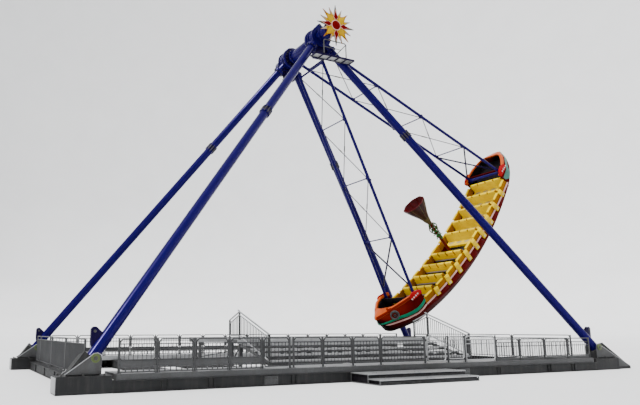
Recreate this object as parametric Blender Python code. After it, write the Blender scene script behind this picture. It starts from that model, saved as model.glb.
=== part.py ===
"""Swinging pirate ship ride, in metres, with +Z up.

X runs along the front of the base in the ship's swing direction, and Y runs away from the front, along
the axle. The origin is on the ground under the middle of the axle. The ship stands swung to +X.
"""
import math

import bmesh
import bpy
from mathutils import Matrix, Vector

# Gap between pieces that touch, and around the axle's bearings
GAP = 0.0003
BEARING_GAP = 0.0004
BEARING_SIDES = 64

# Legs, heads and axle
AXLE_Z = 12.47
AXLE_RADIUS = 0.25
AXLE_Y = (-2.2, 1.9)
LEG_RADIUS = 0.15
LEG_FOOT = Vector((9.0, 4.97, 0.75))
LEG_APEX = Vector((0.05, 1.1, 12.47))
LEG_JOINT = 5.0
FLANGE_RADIUS = 0.22
FLANGE_THICKNESS = 0.05
STUB_TOP = -0.55
STUB_END = 0.65
SLEEVE_RADIUS = 0.4
SLEEVE_Y = (0.98, 1.34)
WEB_Y = (1.06, 1.26)
WEB_HALF_WIDTH = 0.22
WEB_BOTTOM = 11.66

# Catwalk and its rail, under the front head
CATWALK_X = (-0.72, 1.0)
CATWALK_Y = (-2.02, -1.64)
CATWALK_TOP = 11.42
CATWALK_THICKNESS = 0.06
CATWALK_BRACKET_X = 0.18
CATWALK_POSTS = (-0.36, 0.66)
CATWALK_RAIL = 0.58

# Base frame and feet
BEAM_Y = 5.3
BEAM_WIDTH = 0.3
BEAM_TOP = 0.28
FOOT_X = (8.55, 9.8)
FOOT_Y = (4.62, 5.3)
FOOT_TOP = 0.4
SHOE_HALF_WIDTH = 0.2
SHOE_START = 8.82
SHOE_END = {"left": 9.6, "right": 10.65}
SIDE_BEAM_X = 9.0
CROSS_X = (-6.1, -3.75, 0.0, 3.75, 6.1)
CROSS_WIDTH = 0.24

# Walkways, loading platforms and stairs
WALK_TOP = 0.42
WALK_X = 8.45
WALK_Y = (4.1, 5.28)
PLATFORM_TOP = 1.12
PLATFORM_X = (-3.9, 3.9)
PLATFORM_Y = (1.3, 2.1)
PLATFORM_THICKNESS = 0.1
STAIR_X = 3.85
STEPS = 4
TREAD_THICKNESS = 0.05
HANDRAIL = 0.86
RAIL_RETURN = 0.75

# Fences and gate
FENCE_Y = 5.2
FENCE_TOP = 1.21
FENCE_LOW_TOP = 1.11
FENCE_STEP_X = 3.8
RAIL_PITCH = 0.11
POST = 0.06
BAR = 0.03
BAR_PITCH = 0.6
FRONT_FENCES = {"left": (-8.42, -3.78), "middle": (-3.72, 0.87), "right": (1.74, 8.38)}
SIDE_FENCE_X = 8.95
SIDE_FENCE_Y = (-4.1, 4.5)
GATE_X = (0.89, 1.72)
GATE_GAP = 0.02

# Entry steps
ENTRY_X = (-1.95, 1.53)
ENTRY_Y = (-6.6, -6.1)
ENTRY_Z = (0.145, 0.265)

# Sun ornament
SUN_Y = -2.3
SUN_RADIUS = 0.82
SUN_POINTS = 16
SUN_THICKNESS = 0.06

# Swinging ship, as angles from its middle and distances from the axle
SWING_DEG = 45.4
ARM_DEG = 21.3
ARM_END = {"left": 10.81, "right": 10.5}
ARM_RADIUS = 0.055
ARM_Y = 0.86
HUB_RADIUS = 0.45
HUB_Y = (0.78, 0.92)
CROSS_TUBE_RADIUS = 0.08
BRACE_RADIUS = 0.028
STRUT_RADIUS = 0.033
WIRE_RADIUS = 0.012
RUNGS = (0.85, 3.22, 5.71, 8.2, 10.2)
HALF_WIDTH = 1.0
WALL = 0.06
ROWS = 5
ROW_PITCH_DEG = 4.1
SWEEP = (0.4, 5.0)
BOTTOM_SWEEP = (0.42, 1.1)
WALL_TOP = 10.78
CHINE = 11.12
KEEL = 11.62
ARM_REST = 10.44
TAB_FOOT = 11.0
TAB_Y = 1.06
SEAT_BACK = 10.38
SEAT = 10.77
BENCH_HALF_WIDTH = 0.9
RIM_THICKNESS = 0.08
RIM_LIP = 0.07
MAST_DEG = -2.3
MAST_RADIUS = 0.065
MAST_TOP = 9.05
BASKET_DEG = -3.1
BASKET_TOP = 7.9
BASKET_RADIUS = 0.5

# Angle, half width, and distances of the rim, chine and keel, towards each end
BOW_STATIONS = (
    (19.9, 1.0, 10.545, 11.329, 11.829),
    (20.5, 1.0, 10.55, 11.337, 11.83),
    (22.3, 1.0, 10.56, 11.345, 11.79),
    (24.6, 0.86, 10.63, 11.36, 11.77),
    (26.5, 0.6, 10.73, 11.38, 11.78),
    (28.0, 0.34, 10.85, 11.38, 11.64),
    (29.2, 0.1, 10.98, 11.33, 11.42),
)
STERN_STATIONS = (
    (19.9, 1.0, 10.355, 11.043, 11.54),
    (20.5, 1.0, 10.36, 11.043, 11.53),
    (22.5, 1.0, 10.37, 10.97, 11.42),
    (24.5, 0.9, 10.42, 10.92, 11.3),
    (26.5, 0.68, 10.51, 10.91, 11.2),
    (28.0, 0.41, 10.66, 10.95, 11.13),
    (29.4, 0.1, 10.88, 11.03, 11.1),
)
WELL_END_DEG = 27.4
ROW_EDGES = [ROW_PITCH_DEG * index for index in range(ROWS + 1)]
WALL_EDGES = ROW_EDGES[:-1] + [19.7]

# The sides of a lattice cell: its edge's two corners, and the cell beyond it
LATTICE_SIDES = ((0, 0, 1, 0, 0, -1), (1, 0, 1, 1, 1, 0), (1, 1, 0, 1, 0, 1), (0, 1, 0, 0, -1, 0))

SMOOTH_ANGLE = math.radians(35)


def material(name, colour, roughness, metallic=0.0):
    """A plain Principled material."""
    made = bpy.data.materials.new(name)
    made.use_nodes = True
    shader = made.node_tree.nodes["Principled BSDF"]
    shader.inputs["Base Color"].default_value = (*colour, 1.0)
    shader.inputs["Roughness"].default_value = roughness
    shader.inputs["Metallic"].default_value = metallic
    return made


def add(name, mesh_data, finish, parent=None):
    """Links a finished bmesh as a named object under its parent."""
    bmesh.ops.recalc_face_normals(mesh_data, faces=mesh_data.faces)
    if mesh_data.calc_volume(signed=True) < 0:
        bmesh.ops.reverse_faces(mesh_data, faces=mesh_data.faces)
    mesh = bpy.data.meshes.new(name)
    mesh_data.to_mesh(mesh)
    mesh_data.free()
    mesh.shade_smooth()
    mesh.set_sharp_from_angle(angle=SMOOTH_ANGLE)
    mesh.materials.append(finish)
    made = bpy.data.objects.new(name, mesh)
    bpy.context.collection.objects.link(made)
    made.parent = parent
    return made


def box_mesh(low, high):
    """A box between two corners."""
    made = bmesh.new()
    bmesh.ops.create_cube(made, size=1.0)
    low, high = Vector(low), Vector(high)
    place = Matrix.Translation((low + high) / 2) @ Matrix.Diagonal((*(high - low), 1))
    bmesh.ops.transform(made, verts=made.verts, matrix=place)
    return made


def tube_mesh(start, end, radius, sides=16, end_radius=None):
    """A round bar between two points."""
    start, end = Vector(start), Vector(end)
    run = end - start
    made = bmesh.new()
    bmesh.ops.create_cone(made, cap_ends=True, segments=sides, radius1=radius,
                          radius2=radius if end_radius is None else end_radius, depth=run.length)
    turn = run.to_track_quat("Z", "Y").to_matrix().to_4x4()
    bmesh.ops.transform(made, verts=made.verts, matrix=Matrix.Translation((start + end) / 2) @ turn)
    return made


def ring_mesh(inner, outer, low_y, high_y, sides):
    """A ring around the Y axis."""
    made = bmesh.new()
    turns = [math.tau * i / sides for i in range(sides)]
    loops = []
    for y in (low_y, high_y):
        for radius in (inner, outer):
            loops.append([made.verts.new((radius * math.cos(t), y, radius * math.sin(t))) for t in turns])
    for first, second in ((0, 1), (1, 3), (3, 2), (2, 0)):
        for i in range(sides):
            j = (i + 1) % sides
            made.faces.new((loops[first][i], loops[first][j], loops[second][j], loops[second][i]))
    return made


def prism_mesh(outline, start, end, place, made=None):
    """An outline of (u, v) points, pulled from start to end, with place giving each point."""
    if made is None:
        made = bmesh.new()
    low = [made.verts.new(place(u, v, start)) for u, v in outline]
    high = [made.verts.new(place(u, v, end)) for u, v in outline]
    count = len(outline)
    made.faces.new(low)
    made.faces.new(list(reversed(high)))
    for i in range(count):
        j = (i + 1) % count
        made.faces.new((low[i], high[i], high[j], low[j]))
    return made


def lattice_mesh(across, up, place, thickness, foot=None):
    """A flat lattice of (low, high) bars across and up, with place giving each point."""
    us = sorted({edge for bar in across for edge in bar})
    vs = sorted({edge for bar in up for edge in bar} | ({foot} if foot is not None else set()))

    def solid(i, j):
        if not (0 <= i < len(us) - 1 and 0 <= j < len(vs) - 1):
            return False
        u = (us[i] + us[i + 1]) / 2
        v = (vs[j] + vs[j + 1]) / 2
        return any(a < u < b for a, b in across) or any(a < v < b for a, b in up)

    made = bmesh.new()
    corners = {}

    def corner(i, j, side):
        if (i, j, side) not in corners:
            corners[i, j, side] = made.verts.new(place(us[i], vs[j], thickness * (side - 0.5)))
        return corners[i, j, side]

    for i in range(len(us) - 1):
        for j in range(len(vs) - 1):
            if not solid(i, j):
                continue
            for side in (0, 1):
                made.faces.new([corner(i + a, j + b, side) for a, b in ((0, 0), (1, 0), (1, 1), (0, 1))])
            for a, b, c, d, ni, nj in LATTICE_SIDES:
                if not solid(i + ni, j + nj):
                    ring = ((i + a, j + b, 0), (i + c, j + d, 0), (i + c, j + d, 1), (i + a, j + b, 1))
                    made.faces.new([corner(*place_of) for place_of in ring])
    return made


def cut(made, point, normal):
    """Cuts away what lies past a plane and closes the cut."""
    geometry = made.verts[:] + made.edges[:] + made.faces[:]
    result = bmesh.ops.bisect_plane(made, geom=geometry, plane_co=point, plane_no=normal, clear_outer=True)
    edges = [item for item in result["geom_cut"] if isinstance(item, bmesh.types.BMEdge)]
    bmesh.ops.contextual_create(made, geom=edges)


def combine(name, meshes, finish, parent=None, operation="UNION"):
    """Joins meshes into one closed body, or cuts the rest from the first."""
    whole = add(name, meshes[0], finish, parent)
    for index, other in enumerate(meshes[1:]):
        tool = add(f"{name}_tool_{index}", other, finish, parent)
        step = whole.modifiers.new("join", "BOOLEAN")
        step.operation = operation
        step.object = tool
        bpy.context.view_layer.update()
        shape = bpy.data.meshes.new_from_object(whole.evaluated_get(bpy.context.evaluated_depsgraph_get()))
        whole.modifiers.clear()
        whole.data = shape
        bpy.data.objects.remove(tool, do_unlink=True)
    whole.data.name = name
    whole.data.set_sharp_from_angle(angle=SMOOTH_ANGLE)
    return whole


def polar(angle_deg, radius, y):
    """A point of the ship, from its angle from the middle and its distance from the axle."""
    angle = math.radians(angle_deg)
    return Vector((radius * math.sin(angle), y, -radius * math.cos(angle)))


def leg_line(side, end):
    """A leg's apex, foot and direction down, for a side and an end of -1 or 1."""
    foot = Vector((end * LEG_FOOT.x, side * LEG_FOOT.y, LEG_FOOT.z))
    apex = Vector((end * LEG_APEX.x, side * LEG_APEX.y, LEG_APEX.z))
    return apex, foot, (foot - apex).normalized()


def along_y(u, v, w):
    """Places an outline in the XZ plane, pulled along Y."""
    return (u, w, v)


def along_x(u, v, w):
    """Places an outline in the YZ plane, pulled along X."""
    return (w, u, v)


def across_ship(u, v, w):
    """Places an outline of ship angles and distances, pulled across the ship."""
    return polar(u, v, w)


def corners():
    """The four corners of the ride, as names and signs."""
    sides, ends = (("front", -1), ("back", 1)), (("left", -1), ("right", 1))
    return [(side_name, side, end_name, end) for side_name, side in sides for end_name, end in ends]


def legs(blue):
    """Four leg tubes with a flange under the head and a collar pair at the bolted joint."""
    for side_name, side, end_name, end in corners():
        apex, foot, down = leg_line(side, end)
        top = apex + down * (STUB_END + GAP)
        joint = apex + down * LEG_JOINT
        pieces = [
            tube_mesh(top, foot - down * GAP, LEG_RADIUS, 20),
            tube_mesh(top, top + down * FLANGE_THICKNESS, FLANGE_RADIUS, 20),
            tube_mesh(joint - down * 0.14, joint + down * 0.14, LEG_RADIUS * 1.25, 20),
        ]
        combine(f"leg_{side_name}_{end_name}", pieces, blue)


def feet(steel):
    """Foot boxes at the four corners, with a sloped shoe under each leg."""
    for side_name, side, end_name, end in corners():
        foot, down = leg_line(side, end)[1:]
        xs = sorted((end * FOOT_X[0], end * FOOT_X[1]))
        ys = sorted((side * FOOT_Y[0], side * FOOT_Y[1]))
        base = box_mesh((xs[0], ys[0], 0), (xs[1], ys[1], FOOT_TOP))
        reach = SHOE_END[end_name]
        low = FOOT_TOP - 0.05
        outline = [(SHOE_START, low), (SHOE_START, 1.3), (8.9, 1.3), (9.2, 0.92)]
        if reach > FOOT_X[1]:
            outline += [(reach, 0.07), (reach, 0.0), (9.7, 0.0), (9.7, low)]
        else:
            outline += [(reach, FOOT_TOP - 0.02), (reach, low)]
        outline = [(end * x, z) for x, z in outline]
        shoe = prism_mesh(outline, foot.y - SHOE_HALF_WIDTH, foot.y + SHOE_HALF_WIDTH, along_y)
        cut(shoe, foot, -down)
        combine(f"foot_{side_name}_{end_name}", [base, shoe], steel)


def heads(blue):
    """The two heads that join each pair of legs and hold the axle."""
    for name, side in (("head_front", -1), ("head_back", 1)):
        low, high = (side * y for y in SLEEVE_Y)
        sleeve = tube_mesh((0, low, AXLE_Z), (0, high, AXLE_Z), SLEEVE_RADIUS, 32)
        ys = sorted((side * WEB_Y[0], side * WEB_Y[1]))
        web = box_mesh((-WEB_HALF_WIDTH, ys[0], WEB_BOTTOM), (WEB_HALF_WIDTH, ys[1], AXLE_Z - 0.1))
        pieces = [sleeve, web]
        for end in (-1, 1):
            apex, foot, down = leg_line(side, end)
            stop = apex + down * STUB_END
            pieces.append(tube_mesh(apex, stop, LEG_RADIUS, 20))
            pieces.append(tube_mesh(stop - down * FLANGE_THICKNESS, stop, FLANGE_RADIUS, 20))
        apex, foot, down = leg_line(side, -1)
        upwards = Vector((-down.x, 0, -down.z)).normalized()
        pieces.append(tube_mesh(apex, apex - upwards * STUB_TOP, LEG_RADIUS, 20))
        head = combine(f"{name}_solid", pieces, blue)
        shape = bmesh.new()
        shape.from_mesh(head.data)
        bpy.data.objects.remove(head, do_unlink=True)
        low, high = (side * y for y in (0.5, 2.0))
        bore = tube_mesh((0, low, AXLE_Z), (0, high, AXLE_Z), AXLE_RADIUS + GAP * 2, BEARING_SIDES)
        combine(name, [shape, bore], blue, operation="DIFFERENCE")


def axle(blue):
    """The fixed axle tube."""
    add("axle", tube_mesh((0, AXLE_Y[0], AXLE_Z), (0, AXLE_Y[1], AXLE_Z), AXLE_RADIUS, BEARING_SIDES), blue)


def catwalk(steel, galvanised):
    """A small catwalk under the front head, with a rail along its front edge."""
    low = CATWALK_TOP - CATWALK_THICKNESS
    deck = box_mesh((CATWALK_X[0], CATWALK_Y[0], low), (CATWALK_X[1], CATWALK_Y[1], CATWALK_TOP))
    back = -WEB_Y[1] - GAP
    outline = [
        (CATWALK_Y[1] - 0.05, low),
        (back, WEB_BOTTOM + 0.04),
        (back, WEB_BOTTOM + 0.2),
        (CATWALK_Y[1] - 0.05, CATWALK_TOP + 0.06),
    ]
    bracket = prism_mesh(outline, -CATWALK_BRACKET_X, CATWALK_BRACKET_X, along_x)
    combine("catwalk", [deck, bracket], steel)
    posts = [(CATWALK_POSTS[0], CATWALK_POSTS[0] + 0.04), (CATWALK_POSTS[1] - 0.04, CATWALK_POSTS[1])]
    rails = [(CATWALK_RAIL - 0.04, CATWALK_RAIL)]

    def place(u, v, w):
        return (u, CATWALK_Y[0] + 0.03 + w, CATWALK_TOP + GAP + v)

    add("catwalk_rail", lattice_mesh(posts, rails, place, 0.04, 0.0), galvanised)


def base_frame(steel):
    """Long beams front and back, side beams, and cross beams."""
    for name, side in (("front_beam", -1), ("back_beam", 1)):
        ys = sorted((side * (BEAM_Y - BEAM_WIDTH), side * BEAM_Y))
        reach = FOOT_X[0] - GAP
        add(name, box_mesh((-reach, ys[0], 0), (reach, ys[1], BEAM_TOP)), steel)
    for name, side in (("left_beam", -1), ("right_beam", 1)):
        x = side * SIDE_BEAM_X
        reach = FOOT_Y[0] - GAP
        add(name, box_mesh((x - 0.15, -reach, 0), (x + 0.15, reach, BEAM_TOP)), steel)
    reach = BEAM_Y - BEAM_WIDTH - GAP
    for index, x in enumerate(CROSS_X):
        low, high = x - CROSS_WIDTH / 2, x + CROSS_WIDTH / 2
        add(f"cross_beam_{index + 1}", box_mesh((low, -reach, 0), (high, reach, BEAM_TOP)), steel)


def decks(steel):
    """Low walkways along the front and back, and loading platforms on both sides of the ship."""
    for name, side in (("front", -1), ("back", 1)):
        ys = sorted((side * WALK_Y[0], side * WALK_Y[1]))
        add(f"{name}_walkway", box_mesh((-WALK_X, ys[0], BEAM_TOP + GAP), (WALK_X, ys[1], WALK_TOP)), steel)
        ys = sorted((side * PLATFORM_Y[0], side * PLATFORM_Y[1]))
        under = PLATFORM_TOP - PLATFORM_THICKNESS
        pieces = [box_mesh((PLATFORM_X[0], ys[0], under), (PLATFORM_X[1], ys[1], PLATFORM_TOP))]
        for x in CROSS_X[1:4]:
            for y in (ys[0] + 0.08, ys[1] - 0.08):
                low = (x - 0.05, y - 0.05, BEAM_TOP + GAP)
                pieces.append(box_mesh(low, (x + 0.05, y + 0.05, PLATFORM_TOP - 0.02)))
        combine(f"{name}_platform", pieces, steel)


def stair_outline(run, rise):
    """The folded plate of a flight, as (y, z) points from its foot to its top."""
    tread = run / STEPS
    top, under = [], []
    for index in range(STEPS):
        start = -WALK_Y[0] + GAP + index * tread
        stop = start + tread - 2 * GAP * (index == STEPS - 1)
        z = WALK_TOP + (index + 1) * rise
        top += [(start, z), (stop, z)]
        under_start = start + TREAD_THICKNESS * (index > 0)
        under_stop = stop + TREAD_THICKNESS * (index < STEPS - 1)
        under += [(under_start, z - TREAD_THICKNESS), (under_stop, z - TREAD_THICKNESS)]
    return top + list(reversed(under))


def stairs(steel, galvanised):
    """Wide steps from the front walkway to the front platform, with a side panel at each end."""
    run = WALK_Y[0] - PLATFORM_Y[1]
    slope = (PLATFORM_TOP - WALK_TOP) / run
    reach = STAIR_X - 0.05 - GAP
    outline = stair_outline(run, (PLATFORM_TOP - WALK_TOP) / (STEPS + 1))
    add("stairs", prism_mesh(outline, -reach, reach, along_x), steel)
    bars = [(-run, -run + POST)]
    bars += [(-run + 0.4 * index, -run + 0.4 * index + BAR) for index in range(1, 5)]
    bars += [(-BAR, 0.0), (0.36, 0.36 + BAR), (RAIL_RETURN - POST, RAIL_RETURN)]
    rails = [(GAP, GAP + POST), (HANDRAIL - POST, HANDRAIL)]
    for name, x in (("left", -STAIR_X + 0.03), ("right", STAIR_X - 0.03)):

        def place(u, v, w, at=x):
            level = PLATFORM_TOP + min(u, 0.0) * slope
            return (at + w, -PLATFORM_Y[1] + u, level + v * (1.0 - 0.4 * max(u, 0.0)))

        add(f"stair_panel_{name}", lattice_mesh(bars, rails, place, 0.04), galvanised)


def fence(name, start, end, bottom, place, finish):
    """A fence panel with posts at its ends, rails and upright bars."""
    length = end - start
    count = round(length / BAR_PITCH)
    bars = [(start, start + POST), (end - POST, end)]
    for index in range(1, count):
        middle = start + length * index / count
        bars.append((middle - BAR / 2, middle + BAR / 2))
    rails = [(bottom, bottom + POST), (FENCE_TOP - POST, FENCE_TOP)]
    for index in (1, 2):
        high = FENCE_TOP - RAIL_PITCH * index
        rails.append((high - BAR, high))
    add(name, lattice_mesh(bars, rails, place, 0.04), finish)


def front_place(u, v, w):
    """Places the front fence, which is lower past its step."""
    scale = 1.0
    if u > FENCE_STEP_X:
        scale = (FENCE_LOW_TOP - WALK_TOP) / (FENCE_TOP - WALK_TOP)
    return (u, -FENCE_Y + w, WALK_TOP + GAP + (v - WALK_TOP - GAP) * scale)


def back_place(u, v, w):
    """Places the back fence."""
    return (u, FENCE_Y + w, v)


def left_place(u, v, w):
    """Places the left fence."""
    return (-SIDE_FENCE_X + w, u, v)


def right_place(u, v, w):
    """Places the right fence."""
    return (SIDE_FENCE_X + w, u, v)


def fences(galvanised):
    """Fences along the walkways and sides."""
    for name, (start, end) in FRONT_FENCES.items():
        fence(f"front_fence_{name}", start, end, WALK_TOP + GAP, front_place, galvanised)
    fence("back_fence", -WALK_X + 0.02, WALK_X - 0.02, WALK_TOP + GAP, back_place, galvanised)
    fence("left_fence", *SIDE_FENCE_Y, BEAM_TOP + GAP, left_place, galvanised)
    fence("right_fence", *SIDE_FENCE_Y, BEAM_TOP + GAP, right_place, galvanised)


def gate(galvanised):
    """The entry gate, turning about its left edge."""
    hinge = bpy.data.objects.new("gate_hinge", None)
    hinge.location = (GATE_X[0], -FENCE_Y, WALK_TOP)
    bpy.context.collection.objects.link(hinge)
    width = GATE_X[1] - GATE_X[0]
    low, high = 0.06, FENCE_TOP - WALK_TOP
    bars = [(0.004, 0.04), (width - 0.04, width)]
    for index in (1, 2, 3):
        middle = width * index / 4
        bars.append((middle - BAR / 2, middle + BAR / 2))
    rails = [(low, low + 0.04), (high - 0.04, high)]
    panel = lattice_mesh(bars, rails, along_y, 0.036)
    post = tube_mesh((0, 0, low - 0.02), (0, 0, high + 0.02), GATE_GAP - GAP, 16)
    combine("gate", [panel, post], galvanised, hinge)


def entry_steps(steel):
    """Two wide, low steps in front of the walkway."""
    front, middle = ENTRY_Y
    low, high = ENTRY_Z
    back = -BEAM_Y - GAP
    outline = [(back, 0.0), (back, high), (middle, high), (middle, low), (front, low), (front, 0.0)]
    add("entry_steps", prism_mesh(outline, ENTRY_X[0], ENTRY_X[1], along_x), steel)


def sun(yellow):
    """A pointed sun with a boss that sits on the axle's front end."""
    outline = []
    for index in range(SUN_POINTS * 2):
        angle = math.tau * index / (SUN_POINTS * 2)
        radius = SUN_RADIUS * 0.56
        if index % 2 == 0:
            radius = SUN_RADIUS * (0.88 if index % 8 == 4 else 1.0)
        outline.append((radius * math.sin(angle), AXLE_Z + radius * math.cos(angle)))
    star = prism_mesh(outline, SUN_Y - SUN_THICKNESS / 2, SUN_Y + SUN_THICKNESS / 2, along_y)
    boss = tube_mesh((0, SUN_Y, AXLE_Z), (0, AXLE_Y[0] - GAP, AXLE_Z), 0.2, 24)
    combine("sun", [star, boss], yellow)


def ship_frame():
    """An empty on the axle that carries the swung ship."""
    pivot = bpy.data.objects.new("ship_pivot", None)
    pivot.location = (0, 0, AXLE_Z)
    pivot.rotation_euler = (0, -math.radians(SWING_DEG), 0)
    bpy.context.collection.objects.link(pivot)
    return pivot


def sweep(angle_deg, tilt, flare):
    """How much farther from the axle a long line of the ship is than at the ship's middle."""
    angle = math.radians(angle_deg)
    return flare * (1.0 - math.cos(angle)) - tilt * math.sin(angle)


def upper(angle_deg, radius):
    """A distance on the benches or sides, swept along the ship."""
    return radius + sweep(angle_deg, *SWEEP)


def both_ways(edges):
    """Angles from the middle outwards, for both halves from the bow to the stern."""
    return [-edge for edge in reversed(edges[1:])] + edges


def straight(angle_deg, radius):
    """The same where a long line runs straight between two edges of the wall."""
    edges = both_ways(WALL_EDGES)
    start, stop = next(pair for pair in zip(edges, edges[1:]) if pair[0] <= angle_deg <= pair[1])
    low, high = upper(start, radius), upper(stop, radius)
    pitch = math.radians(stop - start)
    turn = math.radians(angle_deg - start)
    return low * high * math.sin(pitch) / (low * math.sin(turn) + high * math.sin(pitch - turn))


def hull_stations():
    """Angle, half width, and distances of the wall's top, chine and keel, along the whole hull."""
    lift = RIM_THICKNESS + GAP
    stations = [(-a, w, rim + lift, chine, keel) for a, w, rim, chine, keel in reversed(BOW_STATIONS)]
    for angle in both_ways(WALL_EDGES):
        low = sweep(angle, *BOTTOM_SWEEP)
        stations.append((angle, HALF_WIDTH, upper(angle, WALL_TOP), CHINE + low, KEEL + low))
    stations += [(a, w, rim + lift, chine, keel) for a, w, rim, chine, keel in STERN_STATIONS]
    return stations


def floor_at(angle_deg):
    """The distance of the hull's floor from the axle at a station."""
    for angle, wide, top, chine, keel in hull_stations():
        if abs(angle - angle_deg) < 0.01:
            return chine + 0.01
    raise ValueError(angle_deg)


def loft(sections):
    """A closed body through loops of points."""
    made = bmesh.new()
    loops = [[made.verts.new(point) for point in section] for section in sections]
    for first, second in zip(loops, loops[1:]):
        for i in range(len(first)):
            j = (i + 1) % len(first)
            made.faces.new((first[i], first[j], second[j], second[i]))
    made.faces.new(loops[0])
    made.faces.new(list(reversed(loops[-1])))
    return made


def hull_section(angle, half):
    """A loop of points at an angle, from half of its (y, distance) corners."""
    both = half + [(-y, r) for y, r in reversed(half)]
    return [polar(angle, r, y) for y, r in both]


def hull(pivot, red):
    """The hollow hull, open above, with a solid bow and stern."""
    outer, inner = [], []
    for angle, wide, top, chine, keel in hull_stations():
        bilge = chine + 0.6 * (keel - chine)
        section = [(wide, top), (wide * 0.98, chine), (wide * 0.62, bilge), (wide * 0.3, keel)]
        outer.append(hull_section(angle, section))
        if abs(angle) > WELL_END_DEG + 0.7:
            continue
        if abs(angle) > WELL_END_DEG:
            angle = math.copysign(WELL_END_DEG, angle)
        wide -= WALL
        inner.append(hull_section(angle, [(wide, 9.6), (wide, chine - 0.08), (wide * 0.98, chine + 0.01)]))
    combine("hull", [loft(outer), loft(inner)], red, pivot, "DIFFERENCE")


def rims(pivot, orange):
    """The rounded caps around the bow and stern."""
    for name, side, stations in (("bow_rim", -1, BOW_STATIONS), ("stern_rim", 1, STERN_STATIONS)):
        half = []
        for angle, wide, rim, chine, keel in stations:
            reach = min(angle, WELL_END_DEG - 0.3)
            inset = min(rim, stations[4][2] - 0.03)
            lip = RIM_LIP if angle < 23.0 else RIM_LIP * 1.6
            half.append(((angle, wide, rim), (reach, max(wide - lip, 0.08), inset)))
        both = half + [((a, -y, r), (b, -z, s)) for (a, y, r), (b, z, s) in reversed(half)]
        sections = []
        for (a, y, r), (b, z, s) in both:
            sections.append([
                polar(side * a, r, y),
                polar(side * b, s, z),
                polar(side * b, s + RIM_THICKNESS, z),
                polar(side * a, r + RIM_THICKNESS, y),
            ])
        add(name, loft(sections), orange, pivot)


def benches(pivot, yellow):
    """Five bench rows in each half, facing the middle, on one floor board each half."""
    for name, side in (("benches_bow", -1), ("benches_stern", 1)):
        outline = [(side * edge, floor_at(side * edge) - GAP) for edge in reversed(ROW_EDGES)]
        for edge in ROW_EDGES[:-1]:
            board = floor_at(side * edge) - 0.06
            corners_of_row = [
                (edge + 1.25, SEAT),
                (edge + 3.0, SEAT),
                (edge + 3.3, SEAT_BACK),
                (edge + 3.75, SEAT_BACK),
            ]
            outline += [(side * edge, board), (side * (edge + 1.25), board)]
            outline += [(side * a, upper(side * a, r)) for a, r in corners_of_row]
            outline += [(side * (edge + 3.75), board), (side * (edge + ROW_PITCH_DEG), board)]
        rows = prism_mesh(outline, -BENCH_HALF_WIDTH, BENCH_HALF_WIDTH, across_ship)
        if side > 0:
            add(name, rows, yellow, pivot)
            continue
        slot_foot = floor_at(0.0) - 0.06
        slot = [(-1.0, slot_foot), (-2.85, slot_foot), (-2.85, 10.1), (-1.0, 10.1)]
        combine(name, [rows, prism_mesh(slot, -0.1, 0.1, across_ship)], yellow, pivot, "DIFFERENCE")


def side_panels(pivot, yellow):
    """Arm rests on the hull's sides beside the benches, with tabs down the outside."""
    edges = both_ways(ROW_EDGES[:-1])
    last = WALL_EDGES[-1] - 0.06
    for name, side in (("side_panel_front", -1), ("side_panel_back", 1)):
        tops = []
        for edge in ROW_EDGES[:-1]:
            tops += [(edge + 0.02, 10.5), (edge + 0.7, 10.5), (edge + 0.75, ARM_REST), (edge + 3.0, ARM_REST)]
            tops += [(edge + 3.05, 10.5)]
        tops.append((last, 10.5))
        outline = [(-a, upper(-a, r)) for a, r in reversed(tops)] + [(a, upper(a, r)) for a, r in tops]
        seats = [last] + list(reversed(edges)) + [-last]
        outline += [(a, straight(a, WALL_TOP) - GAP) for a in seats]
        ys = sorted((side * (HALF_WIDTH - WALL), side * (HALF_WIDTH + 0.03)))
        panel = prism_mesh(outline, *ys, across_ship)
        tabs = bmesh.new()
        ys = sorted((side * (HALF_WIDTH + GAP), side * TAB_Y))
        for edge in edges:
            turn = math.copysign(1.0, edge)
            low, high = (-0.6, 0.6) if edge == 0 else sorted((edge - turn * 1.1, edge + turn * 0.1))
            foot = TAB_FOOT - 10.47 + upper(edge, 10.47) - 0.3 * abs(sweep(edge, 0.0, 5.0))
            tab = [(low, upper(low, 10.47)), (high, upper(high, 10.47)), (high, foot), (low, foot)]
            prism_mesh(tab, *ys, across_ship, tabs)
        combine(name, [panel, tabs], yellow, pivot)


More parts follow.
